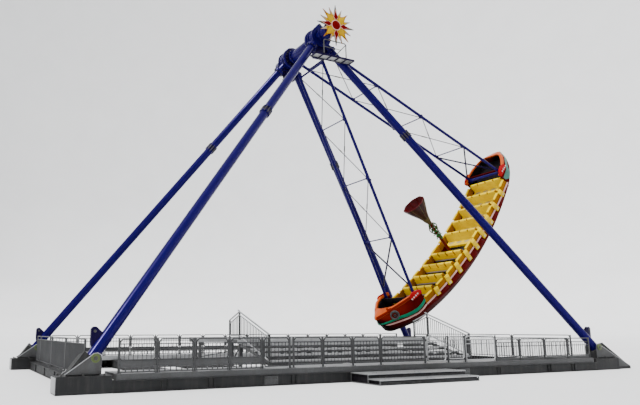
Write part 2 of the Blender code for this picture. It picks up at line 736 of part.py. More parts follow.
def arms(pivot, blue):
    """Hubs on the axle, four arms, cross tubes at their ends, and the bracing between each pair."""
    for name, side in (("hub_front", -1), ("hub_back", 1)):
        bore = (AXLE_RADIUS + BEARING_GAP) / math.cos(math.pi / BEARING_SIDES)
        ys = sorted((side * HUB_Y[0], side * HUB_Y[1]))
        add(name, ring_mesh(bore, HUB_RADIUS, *ys, BEARING_SIDES), blue, pivot)
    for end_name, end in (("left", -1), ("right", 1)):
        angle = end * ARM_DEG
        for side_name, side in (("front", -1), ("back", 1)):
            start = polar(angle, HUB_RADIUS + GAP, side * ARM_Y)
            stop = polar(angle, ARM_END[end_name] - CROSS_TUBE_RADIUS - GAP, side * ARM_Y)
            add(f"arm_{end_name}_{side_name}", tube_mesh(start, stop, ARM_RADIUS, 12), blue, pivot)
        reach = HALF_WIDTH - (WALL if end < 0 else RIM_LIP) - GAP
        ends = [polar(angle, ARM_END[end_name], side * reach) for side in (-1, 1)]
        add(f"cross_tube_{end_name}", tube_mesh(*ends, CROSS_TUBE_RADIUS, 16), blue, pivot)
        inner = ARM_Y - ARM_RADIUS - GAP
        pieces = []
        for radius in RUNGS[:4]:
            start, end = polar(angle, radius, -inner), polar(angle, radius, inner)
            pieces.append(tube_mesh(start, end, BRACE_RADIUS, 8))
        for low, high in zip(RUNGS, RUNGS[1:]):
            thickness = WIRE_RADIUS if high < 9.0 else STRUT_RADIUS
            for flip, radius in ((-1, thickness), (1, thickness * 1.15)):
                start = polar(angle, low, -flip * (inner - 0.03))
                stop = polar(angle, high, flip * (inner - 0.03))
                pieces.append(tube_mesh(start, stop, radius, 8))
        combine(f"bracing_{end_name}", pieces, blue, pivot)


def mast(pivot, red):
    """The mast pole with a cone-shaped basket on top."""
    foot = (floor_at(0.0) - 0.06) * math.cos(math.radians(0.92)) - GAP
    top = polar(MAST_DEG, MAST_TOP, 0)
    add("mast", tube_mesh(polar(MAST_DEG, foot, 0), top, MAST_RADIUS, 12), red, pivot)
    mouth = polar(BASKET_DEG, BASKET_TOP, 0)
    upwards = (mouth - top).normalized()
    basket = tube_mesh(top, mouth, 0.08, 24, BASKET_RADIUS)
    pole = top.normalized()
    cut(basket, top - pole * GAP, pole)
    hollow = tube_mesh(top + upwards * 0.3, mouth + upwards * 0.02, 0.1, 24, BASKET_RADIUS - 0.02)
    combine("basket", [basket, hollow], red, pivot, "DIFFERENCE")


def main():
    for old in list(bpy.data.objects):
        bpy.data.objects.remove(old, do_unlink=True)
    blue = material("blue_paint", (0.02, 0.03, 0.25), 0.3)
    steel = material("grey_steel", (0.22, 0.23, 0.24), 0.55, 0.6)
    galvanised = material("galvanised_steel", (0.45, 0.46, 0.47), 0.45, 0.8)
    red = material("red_paint", (0.35, 0.03, 0.02), 0.35)
    orange = material("orange_paint", (0.85, 0.3, 0.15), 0.35)
    yellow = material("yellow_paint", (0.9, 0.62, 0.03), 0.35)
    legs(blue)
    feet(steel)
    heads(blue)
    axle(blue)
    catwalk(steel, galvanised)
    base_frame(steel)
    decks(steel)
    stairs(steel, galvanised)
    fences(galvanised)
    gate(galvanised)
    entry_steps(steel)
    sun(yellow)
    pivot = ship_frame()
    hull(pivot, red)
    rims(pivot, orange)
    benches(pivot, yellow)
    side_panels(pivot, yellow)
    arms(pivot, blue)
    mast(pivot, red)


main()
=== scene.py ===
"""Dressed model of a swinging pirate ship ride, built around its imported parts.

X runs along the front of the base, Y away from the front along the axle, and Z up, all in metres. The ship
stands swung to +X, and its own points are given by an angle from its middle and a distance from the axle.
"""
import logging
import math
import random
from collections.abc import Callable, Iterable, Sequence
from dataclasses import dataclass, field
from enum import Enum

import bpy
from mathutils import Matrix, Vector


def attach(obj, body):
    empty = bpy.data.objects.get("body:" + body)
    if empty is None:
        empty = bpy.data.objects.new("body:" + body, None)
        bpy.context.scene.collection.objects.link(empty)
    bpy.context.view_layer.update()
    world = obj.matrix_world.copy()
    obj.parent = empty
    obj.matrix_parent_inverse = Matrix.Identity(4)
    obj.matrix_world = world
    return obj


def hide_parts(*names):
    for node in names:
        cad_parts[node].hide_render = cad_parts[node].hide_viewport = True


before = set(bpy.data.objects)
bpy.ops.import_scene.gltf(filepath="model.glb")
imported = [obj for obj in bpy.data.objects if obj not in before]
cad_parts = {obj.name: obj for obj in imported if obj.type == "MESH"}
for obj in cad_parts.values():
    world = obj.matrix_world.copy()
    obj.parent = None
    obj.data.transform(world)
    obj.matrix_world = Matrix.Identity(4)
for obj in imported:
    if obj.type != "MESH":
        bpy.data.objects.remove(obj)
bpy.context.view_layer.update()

LOG = logging.getLogger("pirate_ship_ride")
SMOOTH_ANGLE = math.radians(35)

AXLE_Z = 12.47
SWING = math.radians(45.4)
LEG_FOOT = Vector((9.0, 4.97, 0.75))
LEG_APEX = Vector((0.05, 1.1, 12.47))


class Body(Enum):
    """The moving bodies of the ride."""

    BASE = "base"
    SHIP = "ship"
    GATE = "gate"


class Slot(Enum):
    """The record's material slots."""

    BLUE = "blue_paint"
    STEEL = "grey_steel"
    GALVANISED = "galvanised_steel"
    RED = "red_paint"
    ORANGE = "orange_paint"
    YELLOW = "yellow_paint"


# Workshop: how pieces are started, shaped and put together


def clear_selection() -> None:
    """Leaves nothing selected and goes to object mode."""
    if bpy.context.object is not None and bpy.context.object.mode != "OBJECT":
        bpy.ops.object.mode_set(mode="OBJECT")
    bpy.ops.object.select_all(action="DESELECT")


def take(*pieces: bpy.types.Object) -> bpy.types.Object:
    """Selects these pieces alone and makes the first one active.

    Args:
        pieces: The pieces to select.

    Returns:
        The first piece.
    """
    clear_selection()
    for piece in pieces:
        piece.select_set(True)
    bpy.context.view_layer.objects.active = pieces[0]
    return pieces[0]


def settle(piece: bpy.types.Object) -> bpy.types.Object:
    """Moves a piece's place and turn into its mesh."""
    take(piece)
    bpy.ops.object.transform_apply(location=True, rotation=True, scale=True)
    return piece


def apply_modifier(piece: bpy.types.Object, kind: str, **values: object) -> bpy.types.Object:
    """Adds a modifier with these values and applies it.

    Args:
        piece: The piece that it shapes.
        kind: Blender's name for the kind of modifier.
        values: The modifier's values.

    Returns:
        The piece.
    """
    take(piece)
    step = piece.modifiers.new("step", kind)
    for name, value in values.items():
        setattr(step, name, value)
    bpy.ops.object.modifier_apply(modifier=step.name)
    return piece


def soften_edges(piece: bpy.types.Object, width: float, segments: int = 2) -> bpy.types.Object:
    """Bevels the sharp edges of a piece.

    Args:
        piece: The piece.
        width: The bevel's width.
        segments: The bevel's steps.

    Returns:
        The piece.
    """
    return apply_modifier(piece, "BEVEL", width=width, segments=segments, limit_method="ANGLE")


def block(low: Sequence[float], high: Sequence[float], bevel: float = 0.0) -> bpy.types.Object:
    """A block between two corners.

    Args:
        low: The lowest corner.
        high: The highest corner.
        bevel: The width of its bevelled edges.

    Returns:
        The block.
    """
    low, high = Vector(low), Vector(high)
    clear_selection()
    bpy.ops.mesh.primitive_cube_add(size=1.0, location=(low + high) / 2, scale=high - low)
    piece = settle(bpy.context.object)
    if bevel:
        bpy.ops.object.mode_set(mode="EDIT")
        bpy.ops.mesh.select_all(action="SELECT")
        bpy.ops.mesh.bevel(offset=bevel, segments=2, affect="EDGES")
        bpy.ops.object.mode_set(mode="OBJECT")
    return piece


def bar(
    start: Sequence[float],
    end: Sequence[float],
    radius: float,
    sides: int = 16,
    end_radius: float | None = None,
    bevel: float = 0.0,
) -> bpy.types.Object:
    """A round bar between two points.

    Args:
        start: The middle of one end.
        end: The middle of the other end.
        radius: The radius at the start.
        sides: The number of sides.
        end_radius: The radius at the end, where it differs.
        bevel: The width of a bevel around the two ends.

    Returns:
        The bar.
    """
    start, end = Vector(start), Vector(end)
    run = end - start
    clear_selection()
    bpy.ops.mesh.primitive_cone_add(
        vertices=sides,
        radius1=radius,
        radius2=radius if end_radius is None else end_radius,
        depth=run.length,
        location=(start + end) / 2,
        rotation=run.to_track_quat("Z", "Y").to_euler(),
    )
    piece = settle(bpy.context.object)
    if bevel:
        soften_edges(piece, bevel)
    return piece


def square_bar(start: Sequence[float], end: Sequence[float], width: float) -> bpy.types.Object:
    """A square bar between two points, level across.

    Args:
        start: The middle of one end.
        end: The middle of the other end.
        width: The width of its sides.

    Returns:
        The bar.
    """
    start, end = Vector(start), Vector(end)
    run = end - start
    clear_selection()
    bpy.ops.mesh.primitive_cube_add(
        size=1.0,
        location=(start + end) / 2,
        rotation=run.to_track_quat("Z", "Y").to_euler(),
        scale=(width, width, run.length),
    )
    return settle(bpy.context.object)


def ring(
    start: Sequence[float], end: Sequence[float], inner: float, outer: float, sides: int = 48
) -> bpy.types.Object:
    """A flat ring with a round hole, between two points on its axis.

    Args:
        start: The middle of one face.
        end: The middle of the other face.
        inner: The hole's radius.
        outer: The outside radius.
        sides: The number of sides.

    Returns:
        The ring.
    """
    piece = bar(start, end, outer, sides)
    bpy.ops.object.mode_set(mode="EDIT")
    bpy.ops.mesh.select_mode(type="FACE")
    bpy.ops.mesh.select_all(action="DESELECT")
    bpy.ops.object.mode_set(mode="OBJECT")
    for face in piece.data.polygons:
        face.select = len(face.vertices) > 4
    bpy.ops.object.mode_set(mode="EDIT")
    bpy.ops.mesh.inset(thickness=(outer - inner) * math.cos(math.pi / sides), use_individual=True)
    bpy.ops.mesh.bridge_edge_loops()
    bpy.ops.object.mode_set(mode="OBJECT")
    return soften_edges(piece, min(outer - inner, (Vector(end) - Vector(start)).length) * 0.12)


def plate(outline: Sequence[Sequence[float]], push: Sequence[float], bevel: float = 0.0) -> bpy.types.Object:
    """A flat plate, from its outline pushed through its thickness.

    Args:
        outline: The corners of one face.
        push: The step from that face to the other.
        bevel: The width of its bevelled edges.

    Returns:
        The plate.
    """
    clear_selection()
    bpy.ops.mesh.primitive_circle_add(vertices=len(outline), fill_type="NGON")
    piece = bpy.context.object
    for vertex, corner in zip(piece.data.vertices, outline):
        vertex.co = corner
    bpy.ops.object.mode_set(mode="EDIT")
    bpy.ops.mesh.select_all(action="SELECT")
    bpy.ops.mesh.extrude_region_move(TRANSFORM_OT_translate={"value": Vector(push)})
    bpy.ops.mesh.select_all(action="SELECT")
    bpy.ops.mesh.normals_make_consistent(inside=False)
    bpy.ops.object.mode_set(mode="OBJECT")
    if bevel:
        soften_edges(piece, bevel)
    return piece


def skin(
    steps_u: int,
    steps_v: int,
    place: Callable[[float, float], Sequence[float]],
    thickness: float = 0.0,
    inwards: bool = False,
) -> bpy.types.Object:
    """A curved sheet: a grid whose points are moved to their places, then given a thickness.

    Args:
        steps_u: The number of steps along u.
        steps_v: The number of steps along v.
        place: Gives the point for each u and v from 0 to 1.
        thickness: The sheet's thickness, or 0 for none.
        inwards: Whether the thickness goes to the other side.

    Returns:
        The sheet.
    """
    clear_selection()
    bpy.ops.mesh.primitive_grid_add(x_subdivisions=steps_u, y_subdivisions=steps_v, size=2.0)
    piece = bpy.context.object
    for vertex in piece.data.vertices:
        vertex.co = place((vertex.co.x + 1.0) / 2.0, (vertex.co.y + 1.0) / 2.0)
    if thickness:
        offset = 1.0 if inwards else -1.0
        apply_modifier(piece, "SOLIDIFY", thickness=thickness, offset=offset, use_even_offset=True)
        close_up(piece)
    return piece


def close_up(piece: bpy.types.Object) -> bpy.types.Object:
    """Merges doubled points and turns the faces of a closed piece outwards."""
    take(piece)
    bpy.ops.object.mode_set(mode="EDIT")
    bpy.ops.mesh.select_all(action="SELECT")
    bpy.ops.mesh.remove_doubles(threshold=0.0001)
    bpy.ops.mesh.normals_make_consistent(inside=False)
    bpy.ops.object.mode_set(mode="OBJECT")
    return piece


def pipe(
    points: Sequence[Sequence[float]], radius: float, closed: bool = False, resolution: int = 3
) -> bpy.types.Object:
    """A bent pipe through points.

    Args:
        points: The points on its middle line.
        radius: Its radius.
        closed: Whether it joins up with its own start.
        resolution: How round it is.

    Returns:
        The pipe, as a mesh.
    """
    curve = bpy.data.curves.new("pipe", "CURVE")
    curve.dimensions = "3D"
    curve.bevel_depth = radius
    curve.bevel_resolution = resolution
    curve.use_fill_caps = True
    line = curve.splines.new("POLY")
    line.points.add(len(points) - 1)
    for spot, point in zip(line.points, points):
        spot.co = (*point, 1.0)
    line.use_cyclic_u = closed
    piece = bpy.data.objects.new("pipe", curve)
    bpy.context.collection.objects.link(piece)
    take(piece)
    bpy.ops.object.convert(target="MESH")
    return close_up(bpy.context.object)


def smooth_path(points: Sequence[Sequence[float]], steps: int = 6, closed: bool = False) -> list[Vector]:
    """A smooth line through points.

    Args:
        points: The points that it passes.
        steps: The number of steps between two points.
        closed: Whether it joins up with its own start.

    Returns:
        The points of the smooth line.
    """
    knots = [Vector(point) for point in points]
    count = len(knots)
    path = []
    for index in range(count if closed else count - 1):
        if closed:
            a, b, c, d = (knots[(index + shift) % count] for shift in (-1, 0, 1, 2))
        else:
            a, b, c, d = (knots[min(max(index + shift, 0), count - 1)] for shift in (-1, 0, 1, 2))
        for step in range(steps):
            t = step / steps
            path.append(
                b + (c - a) * (t / 2) + (a - b * 2.5 + c * 2 - d * 0.5) * t**2 + (
                    b * 1.5 - a / 2 - c * 1.5 + d / 2
                ) * t**3
            )
    if not closed:
        path.append(knots[-1])
    return path


def together(pieces: Sequence[bpy.types.Object]) -> bpy.types.Object:
    """Joins pieces into one."""
    take(*pieces)
    if len(pieces) > 1:
        bpy.ops.object.join()
    return bpy.context.object


def copies(pattern: bpy.types.Object, places: Iterable[Matrix]) -> bpy.types.Object:
    """Copies a piece to each place, each with its own mesh, and joins them.

    Args:
        pattern: The piece to copy, which is used up.
        places: The places as matrices.

    Returns:
        The joined copies.
    """
    made = []
    for place in places:
        twin = pattern.copy()
        twin.data = pattern.data.copy()
        twin.data.transform(place)
        bpy.context.collection.objects.link(twin)
        made.append(twin)
    bpy.data.objects.remove(pattern, do_unlink=True)
    return together(made)


def look_along(origin: Sequence[float], direction: Sequence[float]) -> Matrix:
    """A place whose Z points along a direction.

    Args:
        origin: The place's origin.
        direction: Where its Z points.

    Returns:
        The place as a matrix.
    """
    turn = Vector(direction).to_track_quat("Z", "Y").to_matrix().to_4x4()
    return Matrix.Translation(origin) @ turn


def around(origin: Sequence[float], direction: Sequence[float], radius: float, count: int) -> list[Matrix]:
    """Places spread evenly around an axis, each with its Z along the axis.

    Args:
        origin: The middle of the circle.
        direction: The axis.
        radius: The circle's radius.
        count: The number of places.

    Returns:
        The places.
    """
    middle = look_along(origin, direction)
    turns = (Matrix.Rotation(math.tau * (index + 0.5) / count, 4, "Z") for index in range(count))
    return [middle @ turn @ Matrix.Translation((radius, 0, 0)) for turn in turns]


def painted(piece: bpy.types.Object, finish: "Finish") -> bpy.types.Object:
    """Gives a piece one finish all over.

    Args:
        piece: The piece.
        finish: The finish.

    Returns:
        The piece.
    """
    piece.data.materials.clear()
    piece.data.materials.append(finish.material())
    return piece


class Parts(list):
    """The pieces of one assembly, collected until they are joined."""

    def add(
        self, make: Callable[..., bpy.types.Object], finish: "Finish", *sizes: object, **options: object
    ) -> None:
        """Makes a piece and adds it in its finish.

        Args:
            make: The function that makes it.
            finish: Its finish.
            sizes: Its points and sizes, in the function's own order.
            options: Its further sizes, by name.
        """
        self.append(painted(make(*sizes, **options), finish))


def deliver(
    piece: bpy.types.Object,
    name: str,
    body: Body,
    slot: Slot,
    replaces: Sequence[str] = (),
    smooth: float = SMOOTH_ANGLE,
) -> bpy.types.Object:
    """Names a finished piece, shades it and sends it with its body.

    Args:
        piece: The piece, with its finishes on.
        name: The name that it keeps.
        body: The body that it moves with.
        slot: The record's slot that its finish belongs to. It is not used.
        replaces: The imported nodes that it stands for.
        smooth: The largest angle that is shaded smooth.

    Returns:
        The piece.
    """
    take(piece)
    bpy.ops.object.shade_smooth_by_angle(angle=smooth)
    piece.name = name
    piece.data.name = name
    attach(piece, body.value)
    if replaces:
        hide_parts(*replaces)
    LOG.info("%s: %d faces on %s", name, len(piece.data.polygons), body.value)
    return piece


def bolt(radius: float, length: float, finish: "Finish") -> bpy.types.Object:
    """A hex bolt with a washer at each end, along Z from 0 to its length.

    Args:
        radius: The radius of its head's corners.
        length: The grip between its washers.
        finish: Its finish.

    Returns:
        The bolt.
    """
    parts = [bar((0, 0, -0.3 * radius), (0, 0, length + 0.3 * radius), radius * 1.35, 12)]
    parts.append(bar((0, 0, -1.3 * radius), (0, 0, length + 1.3 * radius), radius, 6, bevel=radius * 0.12))
    parts.append(bar((0, 0, -1.9 * radius), (0, 0, length + 1.3 * radius), radius * 0.55, 8))
    return painted(together(parts), finish)


# Finishes


class Nodes:
    """A material that is being put together, with a few short calls for its nodes."""

    def __init__(self, name: str) -> None:
        """Starts a material with its shader and its Object coordinates."""
        self.material = bpy.data.materials.new(name)
        self.material.use_nodes = True
        self.tree = self.material.node_tree
        self.shader = self.tree.nodes["Principled BSDF"]
        self.coordinates = self.tree.nodes.new("ShaderNodeTexCoord")

    def feed(self, socket: bpy.types.NodeSocket, value: object) -> None:
        """Sets a socket to a value, or links it to another socket."""
        if isinstance(value, bpy.types.NodeSocket):
            self.tree.links.new(value, socket)
        else:
            socket.default_value = value

    def node(self, kind: str, inputs: dict[str | int, object], **values: object) -> bpy.types.Node:
        """Adds a node.

        Args:
            kind: Blender's name for the node.
            inputs: What goes into its sockets.
            values: Its settings.

        Returns:
            The node.
        """
        made = self.tree.nodes.new(kind)
        for name, value in values.items():
            setattr(made, name, value)
        for name, value in inputs.items():
            self.feed(made.inputs[name], value)
        return made

    def mapped(
        self, stretch: Sequence[float], turn: Sequence[float] = (0, 0, 0), uv: bool = False
    ) -> bpy.types.NodeSocket:
        """Coordinates that are stretched and turned.

        Args:
            stretch: The scale along each axis.
            turn: The turn about each axis.
            uv: Whether they follow the piece's own UV map.

        Returns:
            The coordinates.
        """
        source = self.coordinates.outputs["UV" if uv else "Object"]
        return self.node(
            "ShaderNodeMapping", {"Vector": source, "Scale": stretch, "Rotation": turn}
        ).outputs[0]

    def noise(
        self, scale: float, detail: float = 3.0, stretch: Sequence[float] = (1, 1, 1), uv: bool = False
    ) -> bpy.types.NodeSocket:
        """A cloudy pattern from 0 to 1.

        Args:
            scale: Its fineness, in clouds per metre.
            detail: How many finer clouds it holds.
            stretch: The scale along each axis.
            uv: Whether it follows the piece's own UV map.

        Returns:
            The pattern.
        """
        inputs = {"Vector": self.mapped(stretch, uv=uv), "Scale": scale, "Detail": detail, "Roughness": 0.6}
        return self.node("ShaderNodeTexNoise", inputs).outputs[0]

    def spread(
        self, value: object, low: float, high: float, to_low: float = 0.0, to_high: float = 1.0
    ) -> bpy.types.NodeSocket:
        """Stretches a range of values to another.

        Args:
            value: The values.
            low: The low end of the range.
            high: The high end of the range.
            to_low: Where the low end goes.
            to_high: Where the high end goes.

        Returns:
            The stretched values.
        """
        inputs = {"Value": value, "From Min": low, "From Max": high, "To Min": to_low, "To Max": to_high}
        return self.node("ShaderNodeMapRange", inputs).outputs[0]

    def sums(self, operation: str, first: object, second: object = 0.0) -> bpy.types.NodeSocket:
        """A sum on two values.

        Args:
            operation: Blender's name for the sum.
            first: The first value.
            second: The second value.

        Returns:
            The result.
        """
        return self.node("ShaderNodeMath", {0: first, 1: second}, operation=operation).outputs[0]

    def blend(self, factor: object, first: object, second: object, mode: str = "MIX") -> bpy.types.NodeSocket:
        """A blend of two colours.

        Args:
            factor: The share of the second colour.
            first: The first colour.
            second: The second colour.
            mode: How they blend.

        Returns:
            The colour.
        """
        made = self.node("ShaderNodeMix", {}, data_type="RGBA", blend_type=mode)
        self.feed(made.inputs[0], factor)
        self.feed(made.inputs[6], first)
        self.feed(made.inputs[7], second)
        return made.outputs[2]

    def ramp(self, factor: object, stops: Sequence[tuple[float, Sequence[float]]]) -> bpy.types.NodeSocket:
        """Colours along a ramp.

        Args:
            factor: The place on the ramp.
            stops: The ramp's places and colours.

        Returns:
            The colour.
        """
        made = self.node("ShaderNodeValToRGB", {0: factor})
        marks = made.color_ramp.elements
        marks[0].position, marks[0].color = stops[0][0], rgba(stops[0][1])
        marks[1].position, marks[1].color = stops[-1][0], rgba(stops[-1][1])
        for position, colour in stops[1:-1]:
            marks.new(position).color = rgba(colour)
        return made.outputs[0]

    def surface(
        self,
        colour: object,
        roughness: object,
        metallic: float = 0.0,
        coat: float = 0.0,
        shine: float = 0.25,
        tint: Sequence[float] = (1.0, 1.0, 1.0),
        height: object = None,
        depth: float = 0.001,
        strength: float = 0.4,
    ) -> bpy.types.Material:
        """Puts the finished surface together.

        Args:
            colour: Its colour.
            roughness: Its roughness.
            metallic: How metallic it is.
            coat: The weight of its clear coat.
            shine: How strongly it mirrors, as its index of refraction above one.
            tint: The colour of what it mirrors.
            height: The pattern of its bumps.
            depth: The height of its bumps, in metres.
            strength: The strength of its bumps.

        Returns:
            The material.
        """
        self.feed(self.shader.inputs["Base Color"], colour)
        self.feed(self.shader.inputs["Roughness"], roughness)
        self.shader.inputs["Metallic"].default_value = metallic
        self.shader.inputs["IOR"].default_value = 1.0 + shine
        self.shader.inputs["Specular Tint"].default_value = rgba(tint)
        self.shader.inputs["Coat Weight"].default_value = coat
        self.shader.inputs["Coat Roughness"].default_value = 0.12
        if height is not None:
            inputs = {"Height": height, "Distance": depth, "Strength": strength}
            self.feed(self.shader.inputs["Normal"], self.node("ShaderNodeBump", inputs).outputs[0])
        return self.material


def rgba(colour: Sequence[float]) -> tuple[float, ...]:
    """A colour with full cover."""
    return (*colour[:3], 1.0)


def shade(colour: Sequence[float], factor: float) -> tuple[float, ...]:
    """A lighter or darker colour."""
    return tuple(min(part * factor, 1.0) for part in colour[:3])


def glow(colour: Sequence[float], share: float = 0.6) -> tuple[float, ...]:
    """What a paint mirrors: white drawn towards its own full colour."""
    return tuple(1.0 - share + share * part / max(colour) for part in colour[:3])


@dataclass(frozen=True)
class Finish:
    """A finish by name, whose material is made once."""

    name: str

    def material(self) -> bpy.types.Material:
        """The finish's material."""
        return bpy.data.materials.get(self.name) or self.mix(Nodes(self.name))

    def mix(self, nodes: Nodes) -> bpy.types.Material:
        """Mixes the material."""
        raise NotImplementedError


@dataclass(frozen=True)
class Enamel(Finish):
    """Gloss paint on steel, a little uneven, with grime in streaks and small chips."""

    colour: tuple[float, float, float]
    grime: tuple[float, float, float]
    roughness: float = 0.28
    grime_share: float = 0.3
    chips: float = 0.5

    def mix(self, nodes: Nodes) -> bpy.types.Material:
        """Mixes the material."""
        cloud = nodes.noise(0.7, 4.0)
        colour = nodes.blend(cloud, rgba(shade(self.colour, 0.88)), rgba(shade(self.colour, 1.12)))
        streaks = nodes.spread(nodes.noise(5.0, 5.0, (1, 1, 0.16)), 0.5, 0.8, 0.0, self.grime_share)
        colour = nodes.blend(streaks, colour, rgba(self.grime))
        chips = nodes.spread(nodes.noise(38.0, 3.0), 0.76, 0.79, 0.0, self.chips)
        colour = nodes.blend(chips, colour, rgba((0.05, 0.04, 0.04)))
        rough = nodes.spread(nodes.noise(5.0, 2.0), 0.3, 0.75, self.roughness * 0.9, self.roughness * 1.15)
        peel = nodes.sums("SUBTRACT", nodes.noise(160.0, 2.0), nodes.sums("MULTIPLY", chips, 1.5))
        tint = glow(self.colour, 0.75)
        return nodes.surface(colour, rough, shine=0.3, tint=tint, height=peel, depth=0.0005, strength=0.05)


@dataclass(frozen=True)
class Steelwork(Finish):
    """Grey galvanised or painted steel, with spangle, rain streaks and cloudy darker patches."""

    colour: tuple[float, float, float]
    roughness: float = 0.5
    metallic: float = 0.55
    dirt: float = 0.45
    tread: bool = False

    def tread_height(self, nodes: Nodes) -> bpy.types.NodeSocket:
        """The raised lozenges of a tread plate, turned one way and the other by turns."""
        pitch = 0.034
        flat = nodes.node("ShaderNodeSeparateXYZ", {0: nodes.mapped((1 / pitch, 1 / pitch, 1 / pitch))})
        across, along = flat.outputs[0], flat.outputs[1]
        cell_u, cell_v = nodes.sums("FLOOR", across), nodes.sums("FLOOR", along)
        odd = nodes.sums("PINGPONG", nodes.sums("ADD", cell_u, cell_v), 1.0)
        flip = nodes.spread(odd, 0.0, 1.0, -1.0, 1.0)
        u = nodes.sums("SUBTRACT", nodes.sums("SUBTRACT", across, cell_u), 0.5)
        v = nodes.sums("MULTIPLY", nodes.sums("SUBTRACT", nodes.sums("SUBTRACT", along, cell_v), 0.5), flip)
        long_way = nodes.sums("MULTIPLY", nodes.sums("ABSOLUTE", nodes.sums("ADD", u, v)), 1.15)
        short_way = nodes.sums("MULTIPLY", nodes.sums("ABSOLUTE", nodes.sums("SUBTRACT", u, v)), 5.0)
        return nodes.spread(nodes.sums("ADD", long_way, short_way), 0.95, 0.7)

    def mix(self, nodes: Nodes) -> bpy.types.Material:
        """Mixes the material."""
        cells = nodes.node("ShaderNodeTexVoronoi", {"Vector": nodes.mapped((1, 1, 1)), "Scale": 55.0})
        spangle = nodes.node("ShaderNodeSeparateColor", {0: cells.outputs["Color"]}).outputs[0]
        patch = nodes.blend(spangle, rgba(shade(self.colour, 0.86)), rgba(shade(self.colour, 1.12)))
        cloud = nodes.spread(nodes.noise(0.9, 5.0), 0.35, 0.7, 0.0, 0.7)
        colour = nodes.blend(cloud, patch, rgba(shade(self.colour, 0.62)))
        streaks = nodes.spread(nodes.noise(7.0, 5.0, (1, 1, 0.12)), 0.48, 0.75, 0.0, self.dirt)
        colour = nodes.blend(streaks, colour, rgba((0.05, 0.048, 0.045)))
        rough = nodes.spread(spangle, 0.0, 1.0, self.roughness * 0.85, self.roughness * 1.2)
        if self.tread:
            height = self.tread_height(nodes)
            colour = nodes.blend(nodes.sums("MULTIPLY", height, 0.35), colour, rgba(shade(self.colour, 1.6)))
            return nodes.surface(colour, rough, self.metallic, height=height, depth=0.002, strength=0.6)
        return nodes.surface(
            colour, rough, self.metallic, height=nodes.noise(90.0, 4.0), depth=0.0006, strength=0.2
        )


@dataclass(frozen=True)
class Gelcoat(Finish):
    """Glossy coloured fibreglass, a little sun-bleached, with faint dirt runs."""

    colour: tuple[float, float, float]
    worn: tuple[float, float, float]
    roughness: float = 0.26
    dirt: float = 0.22
    shine: float = 0.2

    def mix(self, nodes: Nodes) -> bpy.types.Material:
        """Mixes the material."""
        cloud = nodes.spread(nodes.noise(1.6, 4.0), 0.35, 0.7)
        colour = nodes.blend(cloud, rgba(self.colour), rgba(self.worn))
        runs = nodes.spread(nodes.noise(9.0, 5.0, (1, 1, 0.2)), 0.55, 0.85, 0.0, self.dirt)
        colour = nodes.blend(runs, colour, rgba(shade(self.worn, 0.3)))
        rough = nodes.spread(nodes.noise(6.0, 3.0), 0.3, 0.7, self.roughness * 0.8, self.roughness * 1.6)
        tint = glow(self.colour)
        bumps = nodes.noise(30.0, 3.0)
        return nodes.surface(
            colour, rough, shine=self.shine, tint=tint, height=bumps, depth=0.0008, strength=0.12
        )


@dataclass(frozen=True)
class HullPaint(Finish):
    """The hull's paint: orange-red at the raised ends' tops, then maroon, darkening to nearly black at the
    keel as painted shade on the underside.

    The piece's UV map gives the place along the hull, and from its middle line to its top.
    """

    top: tuple[float, float, float]
    side: tuple[float, float, float]
    low: tuple[float, float, float]
    keel: tuple[float, float, float]

    def mix(self, nodes: Nodes) -> bpy.types.Material:
        """Mixes the material."""
        parts = nodes.node("ShaderNodeSeparateXYZ", {0: nodes.coordinates.outputs["UV"]})
        along, up = parts.outputs[0], parts.outputs[1]
        wobble = nodes.spread(nodes.noise(3.0, 4.0), 0.3, 0.7, -0.02, 0.02)
        height = nodes.sums("ADD", up, wobble)
        # Both ramps darken the side colour through low to keel, near-black: painted shade on the hull's
        # underside over its maroon paint.
        middle = nodes.ramp(
            height, [
                (0.0, self.keel), (0.3, self.keel), (0.42, self.low), (0.6, shade(self.side, 0.8)),
                (1.0, self.side),
            ]
        )
        ends = nodes.ramp(
            height, [
                (0.0, self.keel), (0.34, self.keel), (0.46, self.low), (0.62, self.side), (0.9, self.top)
            ]
        )
        near_end = nodes.spread(nodes.sums("ABSOLUTE", nodes.sums("SUBTRACT", along, 0.5)), 0.33, 0.42)
        colour = nodes.blend(near_end, middle, ends)
        scuffs = nodes.spread(nodes.noise(11.0, 6.0, (1, 1, 0.3)), 0.56, 0.8, 0.0, 0.35)
        colour = nodes.blend(scuffs, colour, rgba((0.05, 0.02, 0.015)))
        planks = nodes.sums("PINGPONG", nodes.sums("MULTIPLY", up, 11.0), 0.5)
        groove = nodes.spread(planks, 0.0, 0.05)
        colour = nodes.blend(nodes.spread(groove, 0.0, 1.0, 0.45, 0.0), colour, rgba((0.02, 0.005, 0.005)))
        grain = nodes.noise(14.0, 5.0, (0.4, 2.0, 0.4))
        height = nodes.sums("ADD", groove, nodes.sums("MULTIPLY", grain, 0.25))
        rough = nodes.spread(grain, 0.3, 0.7, 0.42, 0.6)
        tint = glow(self.side, 0.8)
        return nodes.surface(colour, rough, shine=0.05, tint=tint, height=height, depth=0.003, strength=0.3)


